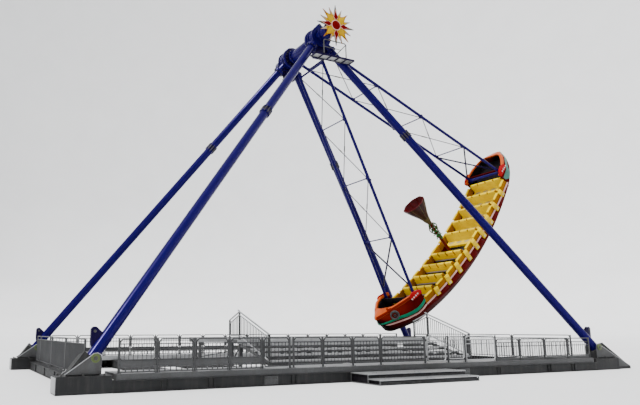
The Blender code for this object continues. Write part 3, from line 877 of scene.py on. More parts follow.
@dataclass(frozen=True)
class Upholstery(Finish):
    """Grained vinyl over foam, with a faint sheen, worn high spots and creases darkened as painted shade."""

    colour: tuple[float, float, float]
    worn: tuple[float, float, float]

    def mix(self, nodes: Nodes) -> bpy.types.Material:
        """Mixes the material."""
        grain = nodes.node(
            "ShaderNodeTexVoronoi", {"Vector": nodes.mapped((1, 1, 1)), "Scale": 240.0}
        ).outputs[0]
        wear = nodes.spread(nodes.noise(6.0, 4.0), 0.45, 0.75, 0.0, 0.5)
        colour = nodes.blend(wear, rgba(self.colour), rgba(self.worn))
        creases_and_shade = nodes.spread(nodes.noise(24.0, 4.0, (1, 0.3, 1)), 0.6, 0.75, 0.0, 0.25)
        # The creases are darkened in colour as painted shade, and sunk by the bump.
        colour = nodes.blend(creases_and_shade, colour, rgba(shade(self.worn, 0.45)))
        rough = nodes.spread(wear, 0.0, 0.5, 0.36, 0.5)
        height = nodes.sums("SUBTRACT", nodes.sums("MULTIPLY", grain, 0.5), creases_and_shade)
        return nodes.surface(colour, rough, tint=glow(self.colour), height=height, depth=0.001, strength=0.3)


@dataclass(frozen=True)
class Wicker(Finish):
    """Woven canes along the piece's UV map: strands that pass over and under, light on their crests and dark
    in the weave's hollows as painted shade.
    """

    light: tuple[float, float, float]
    dark: tuple[float, float, float]
    around: float
    along: float

    def mix(self, nodes: Nodes) -> bpy.types.Material:
        """Mixes the material."""
        parts = nodes.node("ShaderNodeSeparateXYZ", {0: nodes.mapped((self.around, self.along, 1), uv=True)})
        u, v = parts.outputs[0], parts.outputs[1]
        over = nodes.sums("PINGPONG", u, 1.0)
        under = nodes.sums("PINGPONG", nodes.sums("ADD", v, 0.5), 1.0)
        weave = nodes.sums("MAXIMUM", over, under)
        # Light on each strand's crest and dark in the weave's hollows is painted shade, varied by a random
        # tone.
        weave_shade_and_tone = nodes.sums("MULTIPLY", weave, nodes.spread(nodes.noise(12.0, 3.0), 0.3, 0.7, 0.6, 1.1))
        colour = nodes.blend(weave_shade_and_tone, rgba(self.dark), rgba(self.light))
        return nodes.surface(colour, 0.55, height=weave, depth=0.006, strength=0.6)


@dataclass(frozen=True)
class Leafy(Finish):
    """Painted leaves and stems, in mottled greens and browns."""

    colour: tuple[float, float, float]
    autumn: tuple[float, float, float]

    def mix(self, nodes: Nodes) -> bpy.types.Material:
        """Mixes the material."""
        patches = nodes.spread(nodes.noise(7.0, 4.0), 0.4, 0.65)
        colour = nodes.blend(patches, rgba(self.colour), rgba(self.autumn))
        veins = nodes.noise(60.0, 4.0, (1, 1, 0.3))
        colour = nodes.blend(nodes.spread(veins, 0.5, 0.8, 0.0, 0.4), colour, rgba(shade(self.colour, 0.4)))
        return nodes.surface(colour, 0.45, height=veins, depth=0.002, strength=0.4)


BLUE = Enamel("blue_enamel", (0.0045, 0.0004, 0.06), (0.003, 0.0005, 0.025), 0.2, 0.15, 0.15)
DARK_BLUE = Enamel("dark_blue_enamel", (0.003, 0.0009, 0.016), (0.002, 0.002, 0.01), 0.33, 0.2, 0.2)
DARK_STEEL = Steelwork("dark_steelwork", (0.022, 0.0225, 0.0235), 0.6, 0.15, 0.5)
GREY_STEEL = Steelwork("grey_steelwork", (0.075, 0.076, 0.078), 0.52, 0.3)
PALE_STEEL = Steelwork("pale_steelwork", (0.36, 0.365, 0.37), 0.42, 0.4, 0.25)
FENCE_STEEL = Steelwork("fence_steel", (0.06, 0.061, 0.063), 0.45, 0.35, 0.3)
TREAD_STEEL = Steelwork("tread_steel", (0.2, 0.203, 0.206), 0.5, 0.35, 0.4, True)
BOLT_STEEL = Steelwork("bolt_steel", (0.07, 0.07, 0.068), 0.4, 0.6, 0.3)
BRIGHT_STEEL = Steelwork("bright_steel", (0.62, 0.62, 0.62), 0.3, 0.5, 0.1)
BRASSY = Steelwork("passivated_steel", (0.1, 0.13, 0.05), 0.4, 0.5, 0.3)
YELLOW = Gelcoat("yellow_gelcoat", (0.88, 0.65, 0.0), (0.8, 0.52, 0.0), 0.32, 0.2, 0.12)
# The brackets' yellow, darkened as painted shade.
SHADED_YELLOW = Gelcoat("shaded_yellow_gelcoat", (0.6, 0.4, 0.015), (0.5, 0.32, 0.01), 0.32, 0.25, 0.12)
AMBER = Gelcoat("amber_gelcoat", (0.34, 0.14, 0.001), (0.2, 0.07, 0.001), 0.3, 0.22, 0.12)
GOLD = Gelcoat("gold_gelcoat", (0.5, 0.31, 0.006), (0.38, 0.2, 0.004), 0.35, 0.3, 0.12)
CREAM = Gelcoat("cream_gelcoat", (0.5, 0.42, 0.2), (0.4, 0.31, 0.13), 0.35, 0.35)
LILAC = Gelcoat("lilac_gelcoat", (0.42, 0.38, 0.4), (0.33, 0.29, 0.3), 0.35, 0.35)
ORANGE = Gelcoat("orange_gelcoat", (0.5, 0.09, 0.02), (0.4, 0.06, 0.012), 0.3, 0.22, 0.12)
GREEN = Gelcoat("green_gelcoat", (0.002, 0.15, 0.075), (0.002, 0.11, 0.06))
SEA_GREEN = Gelcoat("sea_green_gelcoat", (0.07, 0.2, 0.16), (0.05, 0.15, 0.12))
PINK_WHITE = Gelcoat("pink_white_gelcoat", (0.6, 0.34, 0.31), (0.5, 0.25, 0.21))
MAROON = Gelcoat("maroon_gelcoat", (0.085, 0.0015, 0.0015), (0.06, 0.0015, 0.0015), 0.3, 0.22, 0.1)
RED = Gelcoat("red_gelcoat", (0.13, 0.0008, 0.001), (0.1, 0.0008, 0.001), 0.3, 0.2, 0.1)
BRIGHT_RED = Gelcoat("bright_red_gelcoat", (0.36, 0.006, 0.008), (0.27, 0.004, 0.006), 0.3, 0.2, 0.12)
RUST_RED = Gelcoat("rust_red_gelcoat", (0.16, 0.009, 0.003), (0.13, 0.006, 0.002), 0.32, 0.22, 0.1)
BLACK = Gelcoat("black_gelcoat", (0.004, 0.0035, 0.005), (0.007, 0.006, 0.007), 0.5)
POLE_RED = Enamel("pole_red_enamel", (0.09, 0.005, 0.003), (0.02, 0.005, 0.003), 0.35, 0.5, 0.3)
# The hull's low and keel colours are its maroon darkened as painted shade on the underside.
HULL = HullPaint(
    "hull_paint", (0.19, 0.009, 0.002), (0.075, 0.0015, 0.001), (0.024, 0.0008, 0.001),
    (0.004, 0.0005, 0.0008),
)
PAD = Upholstery("yellow_vinyl", (0.92, 0.66, 0.0), (0.78, 0.5, 0.002))
BASKET_WEAVE = Wicker("basket_weave", (0.1, 0.065, 0.022), (0.012, 0.01, 0.004), 48.0, 26.0)
PETAL = Leafy("dark_red_petal", (0.1, 0.003, 0.005), (0.05, 0.002, 0.003))
DARK_PETAL = Leafy("dark_petal", (0.028, 0.003, 0.004), (0.01, 0.003, 0.003))
VINE = Leafy("vine_green", (0.008, 0.14, 0.035), (0.03, 0.09, 0.012))
STEM = Leafy("dry_stem", (0.07, 0.05, 0.014), (0.03, 0.04, 0.008))


# The ship's own places


ROW_PITCH = 4.1
ROWS = 5
HALF_WIDTH = 1.0
AXIS = Vector((0, 1, 0))


def ship_point(angle: float, radius: float, y: float) -> Vector:
    """A point of the swung ship.

    Args:
        angle: Its angle from the ship's middle, in degrees, towards the stern.
        radius: Its distance from the axle.
        y: Its place across the ship.

    Returns:
        The point.
    """
    turn = math.radians(angle) + SWING
    return Vector((radius * math.sin(turn), y, AXLE_Z - radius * math.cos(turn)))


def sweep(angle: float, tilt: float, flare: float) -> float:
    """How much farther from the axle a long line of the ship is than at the ship's middle.

    Args:
        angle: The angle from the ship's middle, in degrees.
        tilt: How much lower the bow is than the stern.
        flare: How much the line flattens towards the ends.

    Returns:
        The extra distance.
    """
    turn = math.radians(angle)
    return flare * (1.0 - math.cos(turn)) - tilt * math.sin(turn)


def upper(angle: float, radius: float) -> float:
    """A distance on the benches or sides, swept along the ship."""
    return radius + sweep(angle, 0.4, 5.0)


def lower(angle: float, radius: float) -> float:
    """A distance on the hull's bottom, swept along the ship."""
    return radius + sweep(angle, 0.42, 1.1)


def seat_place(angle: float, radius: float, facing: int) -> Matrix:
    """A place on the benches, whose X runs away from the ship's middle and Z towards the axle.

    Args:
        angle: The angle from the ship's middle.
        radius: The distance from the axle at the ship's middle.
        facing: Minus one in the bow, one in the stern.

    Returns:
        The place, sheared along the benches' sweep.
    """
    turn = math.radians(angle)
    world = turn + SWING
    here = upper(angle, radius)
    slope = (5.0 * math.sin(turn) - 0.4 * math.cos(turn)) / here
    up = Vector((-math.sin(world), 0, math.cos(world)))
    along = Vector((math.cos(world), 0, math.sin(world))) - up * slope
    across = AXIS * facing
    columns = (along * facing, across, up)
    turned = Matrix([[column[row] for column in columns] for row in range(3)]).to_4x4()
    return Matrix.Translation(ship_point(angle, here, 0)) @ turned


@dataclass
class Station:
    """One cross-section of the hull: half width, and the distances of rim, chine and keel from the axle."""

    angle: float
    width: float
    rim: float
    chine: float
    keel: float

    def mixed(self, other: "Station", share: float) -> "Station":
        """A section between this one and another.

        Args:
            other: The other section.
            share: The share of the other.

        Returns:
            The section between them.
        """
        names = ("angle", "width", "rim", "chine", "keel")
        return Station(*((1 - share) * getattr(self, name) + share * getattr(other, name) for name in names))


@dataclass
class HullForm:
    """The shape of the hull, as sections from the bow to the stern."""

    cap: float = 0.0803
    wall_top: float = 10.78
    chine: float = 11.12
    keel: float = 11.62
    wall_end: float = 19.7
    bow: Sequence[Sequence[float]] = (
        (19.9, 1.0, 10.545, 11.329, 11.829),
        (20.5, 1.0, 10.55, 11.337, 11.83),
        (22.3, 1.0, 10.56, 11.345, 11.79),
        (24.6, 0.84, 10.66, 11.36, 11.77),
        (26.5, 0.54, 10.8, 11.38, 11.75),
        (27.2, 0.42, 10.87, 11.37, 11.68),
        (28.0, 0.27, 10.94, 11.25, 11.42),
        (29.2, 0.05, 11.04, 11.08, 11.11),
    )
    stern: Sequence[Sequence[float]] = (
        (19.9, 1.0, 10.355, 11.043, 11.54),
        (20.5, 1.0, 10.36, 11.043, 11.53),
        (22.5, 1.0, 10.37, 10.97, 11.42),
        (24.5, 0.9, 10.42, 10.92, 11.3),
        (26.5, 0.68, 10.51, 10.91, 11.2),
        (28.0, 0.41, 10.66, 10.95, 11.13),
        (29.4, 0.1, 10.88, 11.03, 11.1),
    )

    def end_stations(self, side: int) -> list[Station]:
        """The sections of the raised end on one side."""
        rows = self.bow if side < 0 else self.stern
        return [Station(side * row[0], *row[1:]) for row in rows]

    def stations(self) -> list[Station]:
        """All the sections, with the rim standing on the wall in the raised ends."""
        found = [self.lifted(one) for one in reversed(self.end_stations(-1))]
        for step in range(-ROWS, ROWS + 1):
            angle = max(-self.wall_end, min(step * ROW_PITCH, self.wall_end))
            top, chine, keel = upper(angle, self.wall_top), lower(angle, self.chine), lower(angle, self.keel)
            found.append(Station(angle, HALF_WIDTH, top, chine, keel))
        return found + [self.lifted(one) for one in self.end_stations(1)]

    def lifted(self, one: Station) -> Station:
        """A section whose wall ends under the cap."""
        return Station(one.angle, one.width, one.rim + self.cap, one.chine, one.keel)

    def at(self, angle: float) -> Station:
        """The section at any angle."""
        known = self.stations()
        for first, second in zip(known, known[1:]):
            if first.angle <= angle <= second.angle:
                share = (angle - first.angle) / max(second.angle - first.angle, 1e-9)
                return first.mixed(second, share)
        return known[0] if angle < known[0].angle else known[-1]

    def half_section(self, one: Station) -> list[tuple[float, float]]:
        """Half a cross-section, top to middle line, as (y, distance) points with eased corners."""
        bilge = one.chine + 0.6 * (one.keel - one.chine)
        corners = [
            (one.width, one.rim),
            (one.width * 0.99, one.rim + 0.6 * (one.chine - one.rim)),
            (one.width * 0.98, one.chine),
            (one.width * 0.62, bilge),
            (one.width * 0.3, one.keel),
            (0.0, one.keel + 0.004),
        ]
        for _ in range(2):
            eased = [corners[0]]
            for (y, r), (z, s) in zip(corners, corners[1:]):
                eased += [
                    (0.82 * y + 0.18 * z, 0.82 * r + 0.18 * s), (0.18 * y + 0.82 * z, 0.18 * r + 0.82 * s)
                ]
            corners = eased + [corners[-1]]
        return corners

    def skin_y(self, angle: float, radius: float) -> float:
        """How far out the hull's side is at a distance from the axle.

        Args:
            angle: The angle from the ship's middle.
            radius: The distance from the axle.

        Returns:
            The distance from the ship's middle plane.
        """
        points = self.half_section(self.at(angle))
        for (y, r), (z, s) in zip(points, points[1:]):
            if r <= radius <= s and s > r:
                return y + (z - y) * (radius - r) / (s - r)
        return points[0][0]


def along_line(points: Sequence[Sequence[float]], share: float) -> tuple[float, ...]:
    """A point of a broken line of (angle, radius, width) points, at a share of its run of angles.

    Args:
        points: The line's points.
        share: The share of the run, from 0 to 1.

    Returns:
        The point's angle, radius and width.
    """
    angle = points[0][0] + share * (points[-1][0] - points[0][0])
    for first, second in zip(points, points[1:]):
        if min(first[0], second[0]) - 1e-9 <= angle <= max(first[0], second[0]) + 1e-9:
            part = (angle - first[0]) / (second[0] - first[0])
            return tuple(low + (high - low) * part for low, high in zip(first, second))
    return tuple(points[-1])


@dataclass
class Hull:
    """The hull's shell, its caps, its wells darkened as painted shade, and the mouldings along its sides."""

    form: HullForm = field(default_factory=HullForm)
    shell_thickness: float = 0.05
    moulding: float = 0.018
    well_end: float = 27.1
    green_line: Sequence[Sequence[float]] = (
        (-19.75, 10.92, 0.08), (-20.3, 10.99, 0.1), (-21.2, 11.06, 0.11),
        (-22.3, 11.115, 0.11), (-23.4, 11.155, 0.11),
        (-25.6, 11.19, 0.09), (-27.1, 11.26, 0.06), (-28.1, 11.32, 0.04),
    )
    pink_line: Sequence[Sequence[float]] = (
        (-19.8, 11.17, 0.016), (-20.6, 11.23, 0.016), (-22.3, 11.32, 0.016),
        (-25.0, 11.37, 0.014), (-27.6, 11.42, 0.01),
    )
    stern_line: Sequence[Sequence[float]] = (
        (20.0, 10.62, 0.16), (20.9, 10.64, 0.32), (21.8, 10.66, 0.3),
        (22.7, 10.66, 0.21), (23.6, 10.62, 0.16),
        (24.4, 10.59, 0.15), (25.6, 10.65, 0.15), (27.5, 10.79, 0.13), (29.35, 10.95, 0.08),
    )

    def build(self) -> None:
        """Builds all of the hull's pieces."""
        self.shell()
        for side, name in ((-1, "bow"), (1, "stern")):
            self.cap(side, name)
            self.well(side, name)
        self.mouldings()
        self.side_plates()
        self.shoulders()
        self.bow_ring()
        self.keel_strip()

    def shell(self) -> None:
        """The hull's shell, open above."""
        known = self.form.stations()
        angles = []
        for first, second in zip(known, known[1:]):
            steps = 3 if second.angle - first.angle > 1.0 else 1
            angles += [first.angle + (second.angle - first.angle) * step / steps for step in range(steps)]
        angles.append(known[-1].angle)
        sections = []
        for angle in angles:
            half = self.form.half_section(self.form.at(angle))
            sections.append(
                [(angle, y, r) for y, r in half] + [(angle, -y, r) for y, r in reversed(half[:-1])]
            )
        count = len(sections[0])

        def place(u: float, v: float) -> Vector:
            angle, y, radius = sections[round(u * (len(sections) - 1))][round(v * (count - 1))]
            return ship_point(angle, radius, y)

        piece = skin(len(sections) - 1, count - 1, place)
        self.map_girth(piece)
        apply_modifier(piece, "SOLIDIFY", thickness=self.shell_thickness, offset=-1.0, use_even_offset=True)
        parts = [close_up(piece)]
        for side, one in ((-1, known[0]), (1, known[-1])):
            half = self.form.half_section(one)
            outline = half + [(-y, r) for y, r in reversed(half[:-1])]
            corners = [ship_point(one.angle + side * 0.02, r, y) for y, r in outline]
            parts.append(
                plate(
                    corners,
                    ship_point(one.angle - side * 0.12, one.chine, 0) - ship_point(one.angle, one.chine, 0),
                )
            )
        shell = painted(together(parts), HULL)
        deliver(shell, "hull_shell", Body.SHIP, Slot.RED, ("hull",))

    def map_girth(self, piece: bpy.types.Object) -> None:
        """Makes the UV map's second value run from 0 at the middle line to 1 at each top."""
        for spot in piece.data.uv_layers.active.data:
            spot.uv = (spot.uv[0], abs(spot.uv[1] * 2.0 - 1.0))

    def cap(self, side: int, name: str) -> None:
        """A rounded cap around a raised end.

        Args:
            side: Minus one for the bow, one for the stern.
            name: The end's name.
        """
        known = self.form.end_stations(side)
        dense = []
        for first, second in zip(known, known[1:]):
            dense += [first.mixed(second, step / 4) for step in range(4)]
        dense.append(known[-1])
        half = []
        for one in dense:
            angle = abs(one.angle)
            lip = 0.07 if angle < 22.6 else 0.07 + 0.042 * min((angle - 22.6) / 1.5, 1.0)
            reach = min(angle, self.well_end)
            inner = (side * reach, max(one.width - lip, 0.08), min(one.rim, known[4].rim - 0.03))
            half.append(((one.angle, one.width + 0.012, one.rim), inner))
        both = half + [((a, -y, r), (b, -z, s)) for (a, y, r), (b, z, s) in reversed(half)]
        profile = (
            (0.0, -0.105), (0.0, -0.04), (0.03, 0.0), (0.25, 0.014), (0.75, 0.014), (0.97, 0.0), (1.0, -0.04),
            (1.0, -0.12),
        )

        def place(u: float, v: float) -> Vector:
            (a, y, r), (b, z, s) = both[round(u * (len(both) - 1))]
            share, lift = profile[round(v * (len(profile) - 1))]
            crown = lift * (0.6 if lift > 0 else 1.0)
            angle, wide, radius = a + (b - a) * share, y + (z - y) * share, r + (s - r) * share
            return ship_point(angle, radius - crown, wide)

        piece = painted(skin(len(both) - 1, len(profile) - 1, place, 0.014, inwards=True), ORANGE)
        if side < 0:
            self.paint_skirt(piece)
        apply_modifier(piece, "SUBSURF", levels=1, render_levels=1)
        deliver(piece, f"{name}_cap", Body.SHIP, Slot.ORANGE, (f"{name}_rim",))

    def paint_skirt(self, piece: bpy.types.Object) -> None:
        """Paints the outer skirt of a cap in the wall's rusty red."""
        piece.data.materials.append(RUST_RED.material())
        for face in piece.data.polygons:
            upwards = (Vector((0.0, face.center.y, AXLE_Z)) - face.center).normalized()
            outwards = face.normal.y * face.center.y > 0.0 or face.normal.z < -0.5
            if abs(face.normal.dot(upwards)) < 0.6 and outwards:
                face.material_index = 1

    def well(self, side: int, name: str) -> None:
        """A raised end's well, its inside near-black as painted shade, with a board across its inner side:
        maroon at the stern, near-black as painted shade at the bow.

        Args:
            side: Minus one for the bow, one for the stern.
            name: The end's name.
        """
        start, end = 20.56, self.well_end - 0.2

        def place(u: float, v: float) -> Vector:
            angle = side * (start + (end - start) * min(u * 1.12, 1.0))
            one = self.form.at(angle)
            wide = one.width - 0.115 if abs(angle) > 22.6 else one.width - 0.075
            floor = min(one.chine, one.keel) - 0.035
            top = one.rim - 0.02
            across = abs(v * 2.0 - 1.0)
            y = wide * (0.94 if across < 0.55 else 0.94 + 0.06 * (across - 0.55) / 0.45)
            y *= across / 0.55 if across < 0.55 else 1.0
            depth = 0.0 if across < 0.55 else (across - 0.55) / 0.45
            if u > 0.95:
                return ship_point(
                    side * (end + 0.01), floor + (top - floor) * max(depth, 0.0),
                    y * math.copysign(1, v - 0.5),
                )
            return ship_point(angle, floor + (top - floor) * depth, y * math.copysign(1, v - 0.5))

        # The well's inside is near-black: painted shade in the raised end's hollow.
        shade_sheet = painted(skin(20, 20, place, 0.006), BLACK)
        edge = self.form.at(side * 20.75)
        wide = edge.width - 0.08
        low, high = edge.rim + 0.02, edge.rim + 0.24
        board = [ship_point(side * 22.3, low, -wide), ship_point(side * 22.3, low, wide)]
        board += [ship_point(side * 22.3, high, wide), ship_point(side * 22.3, high, -wide)]
        push = ship_point(side * 22.1, low, 0) - ship_point(side * 22.3, low, 0)
        # The bow's board is near-black as painted shade; the stern's is maroon.
        front = painted(plate(board, push, 0.008), MAROON if side > 0 else BLACK)
        deliver(together([shade_sheet, front]), f"{name}_well", Body.SHIP, Slot.RED)

    def strip(self, line: Sequence[Sequence[float]], finish: Finish, out: float = 1.0) -> bpy.types.Object:
        """A raised strip along both sides of the hull and around its end.

        Args:
            line: The strip's upper edge and width, as (angle, radius, width) points from the middle outwards.
            finish: Its finish.
            out: How far it stands out, as a share of the usual.

        Returns:
            The strip.
        """
        steps = 36
        spots = []
        for index in range(steps + 1):
            angle, radius, width = along_line(line, index / steps)
            spots.append((angle, radius, width, self.form.skin_y(angle, radius + width / 2)))
        run = spots + [(a, r, w, -y) for a, r, w, y in reversed(spots)]

        def place(u: float, v: float) -> Vector:
            angle, radius, width, y = run[round(u * (len(run) - 1))]
            edge = self.moulding * out * (0.35 if v in (0.0, 1.0) else 1.0)
            bow = math.copysign(0.1 if abs(y) < 0.2 else 0.0, angle)
            return ship_point(angle + bow, radius + v * width, y + math.copysign(edge, y))

        return painted(skin(len(run) - 1, 4, place, self.moulding * 1.6), finish)

    def mouldings(self) -> None:
        """The green, pink and sea-green strips along the raised ends."""
        strips = [
            self.strip(self.green_line, GREEN),
            self.strip(self.pink_line, PINK_WHITE, 0.7),
            self.strip(self.stern_line, SEA_GREEN),
        ]
        deliver(together(strips), "hull_mouldings", Body.SHIP, Slot.RED)

    def side_plates(self) -> None:
        """The raised maroon panels between the seat brackets, with a pale bar along each one's top."""
        parts = Parts()
        end = self.form.wall_end - 0.1
        for index in range(-ROWS, ROWS):
            turn = -1 if index < 0 else 1
            near = (index + (turn < 0)) * ROW_PITCH
            low, high = near + turn * (0.68 if near == 0 else 0.16), near + turn * (ROW_PITCH - 1.15)
            if abs(high) > 16.0:
                high = turn * end
            for y in (-1, 1):
                for first, last, finish, out, bottom in (
                    (low, high, MAROON, 0.012, 11.06), (low, high, PINK_WHITE, 0.026, 0.0)
                ):
                    top = 10.785 if finish is MAROON else 10.72
                    spots = [(first, upper(first, top)), (last, upper(last, top))]
                    if bottom:
                        spots += [(last, lower(last, bottom)), (first, lower(first, bottom))]
                    else:
                        spots += [(last, upper(last, 10.783)), (first, upper(first, 10.783))]
                    corners = [ship_point(angle, radius, y * (HALF_WIDTH - 0.006)) for angle, radius in spots]
                    parts.add(plate, finish, corners, AXIS * (y * (out + 0.006)), 0.003)
        deliver(together(parts), "hull_side_panels", Body.SHIP, Slot.RED)

    def shoulders(self) -> None:
        """The red saddles over the rims at the arms' feet, with four bright studs on each."""
        parts = Parts()
        for end, form in ((-1, self.form.bow), (1, self.form.stern)):
            rim = form[2][2]
            for side in (-1, 1):
                outline = [
                    (19.86, rim - 0.03), (20.6, rim - 0.075), (22.6, rim - 0.07), (23.1, rim),
                    (23.3, rim + 0.13),
                ]
                outline += [(22.6, rim + 0.21), (20.4, rim + 0.13), (19.86, rim + 0.12)]
                corners = [ship_point(end * angle, radius, side * 0.985) for angle, radius in outline]
                parts.add(plate, BRIGHT_RED, corners, AXIS * (side * 0.06), 0.012)
                top = [(20.7, rim - 0.075), (22.4, rim - 0.075), (22.4, rim - 0.042), (20.7, rim - 0.042)]
                corners = [ship_point(end * angle, radius, side * 0.936) for angle, radius in top]
                parts.add(plate, BRIGHT_RED, corners, AXIS * (side * 0.06), 0.006)
                for step in range(4):
                    spot = ship_point(end * (21.15 + 0.62 * step), rim + 0.045 + 0.035 * step, side * 1.04)
                    parts.add(bar, BRIGHT_STEEL, spot, spot + AXIS * (side * 0.03), 0.03, 16, bevel=0.008)
        deliver(together(parts), "rim_shoulders", Body.SHIP, Slot.RED)

    def bow_ring(self) -> None:
        """A ring ornament with a scroll on each side of the bow."""
        parts = Parts()
        for side in (-1, 1):
            angle, radius = -26.5, 11.1
            y = side * (self.form.skin_y(angle, radius) + 0.03)
            middle = ship_point(angle, radius, y)
            slope = ship_point(angle - 0.6, radius, side * self.form.skin_y(angle - 0.6, radius))
            slope -= ship_point(angle + 0.6, radius, side * self.form.skin_y(angle + 0.6, radius))
            normal = slope.normalized().cross(
                ship_point(angle, radius + 1, 0) - ship_point(angle, radius, 0)
            ) * side
            clear_selection()
            bpy.ops.mesh.primitive_torus_add(
                major_radius=0.15, minor_radius=0.036, major_segments=32, minor_segments=10
            )
            hoop = bpy.context.object
            hoop.data.transform(look_along(middle, normal))
            parts.append(painted(hoop, GREY_STEEL))
            place = look_along(middle, normal)
            curl = []
            for step in range(26):
                turn = step / 25 * math.tau * 1.1
                reach = 0.115 - 0.085 * step / 25
                curl.append(place @ Vector((reach * math.cos(turn), reach * math.sin(turn), 0.012)))
            parts.add(pipe, BOLT_STEEL, curl, 0.016)
            parts.add(bar, BOLT_STEEL, middle - normal * 0.05, middle + normal * 0.03, 0.035, 16, bevel=0.006)
        deliver(together(parts), "bow_ring_ornaments", Body.SHIP, Slot.RED)

    def keel_strip(self) -> None:
        """The rubbing strake along the keel."""

        def place(u: float, v: float) -> Vector:
            angle = -28.0 + 56.0 * u
            one = self.form.at(angle)
            return ship_point(
                angle, one.keel + 0.002 + 0.02 * math.sin(math.pi * v), one.width * 0.12 * (v * 2.0 - 1.0)
            )

        piece = skin(60, 6, place, 0.01, inwards=True)
        deliver(painted(piece, BLACK), "keel_strake", Body.SHIP, Slot.RED)


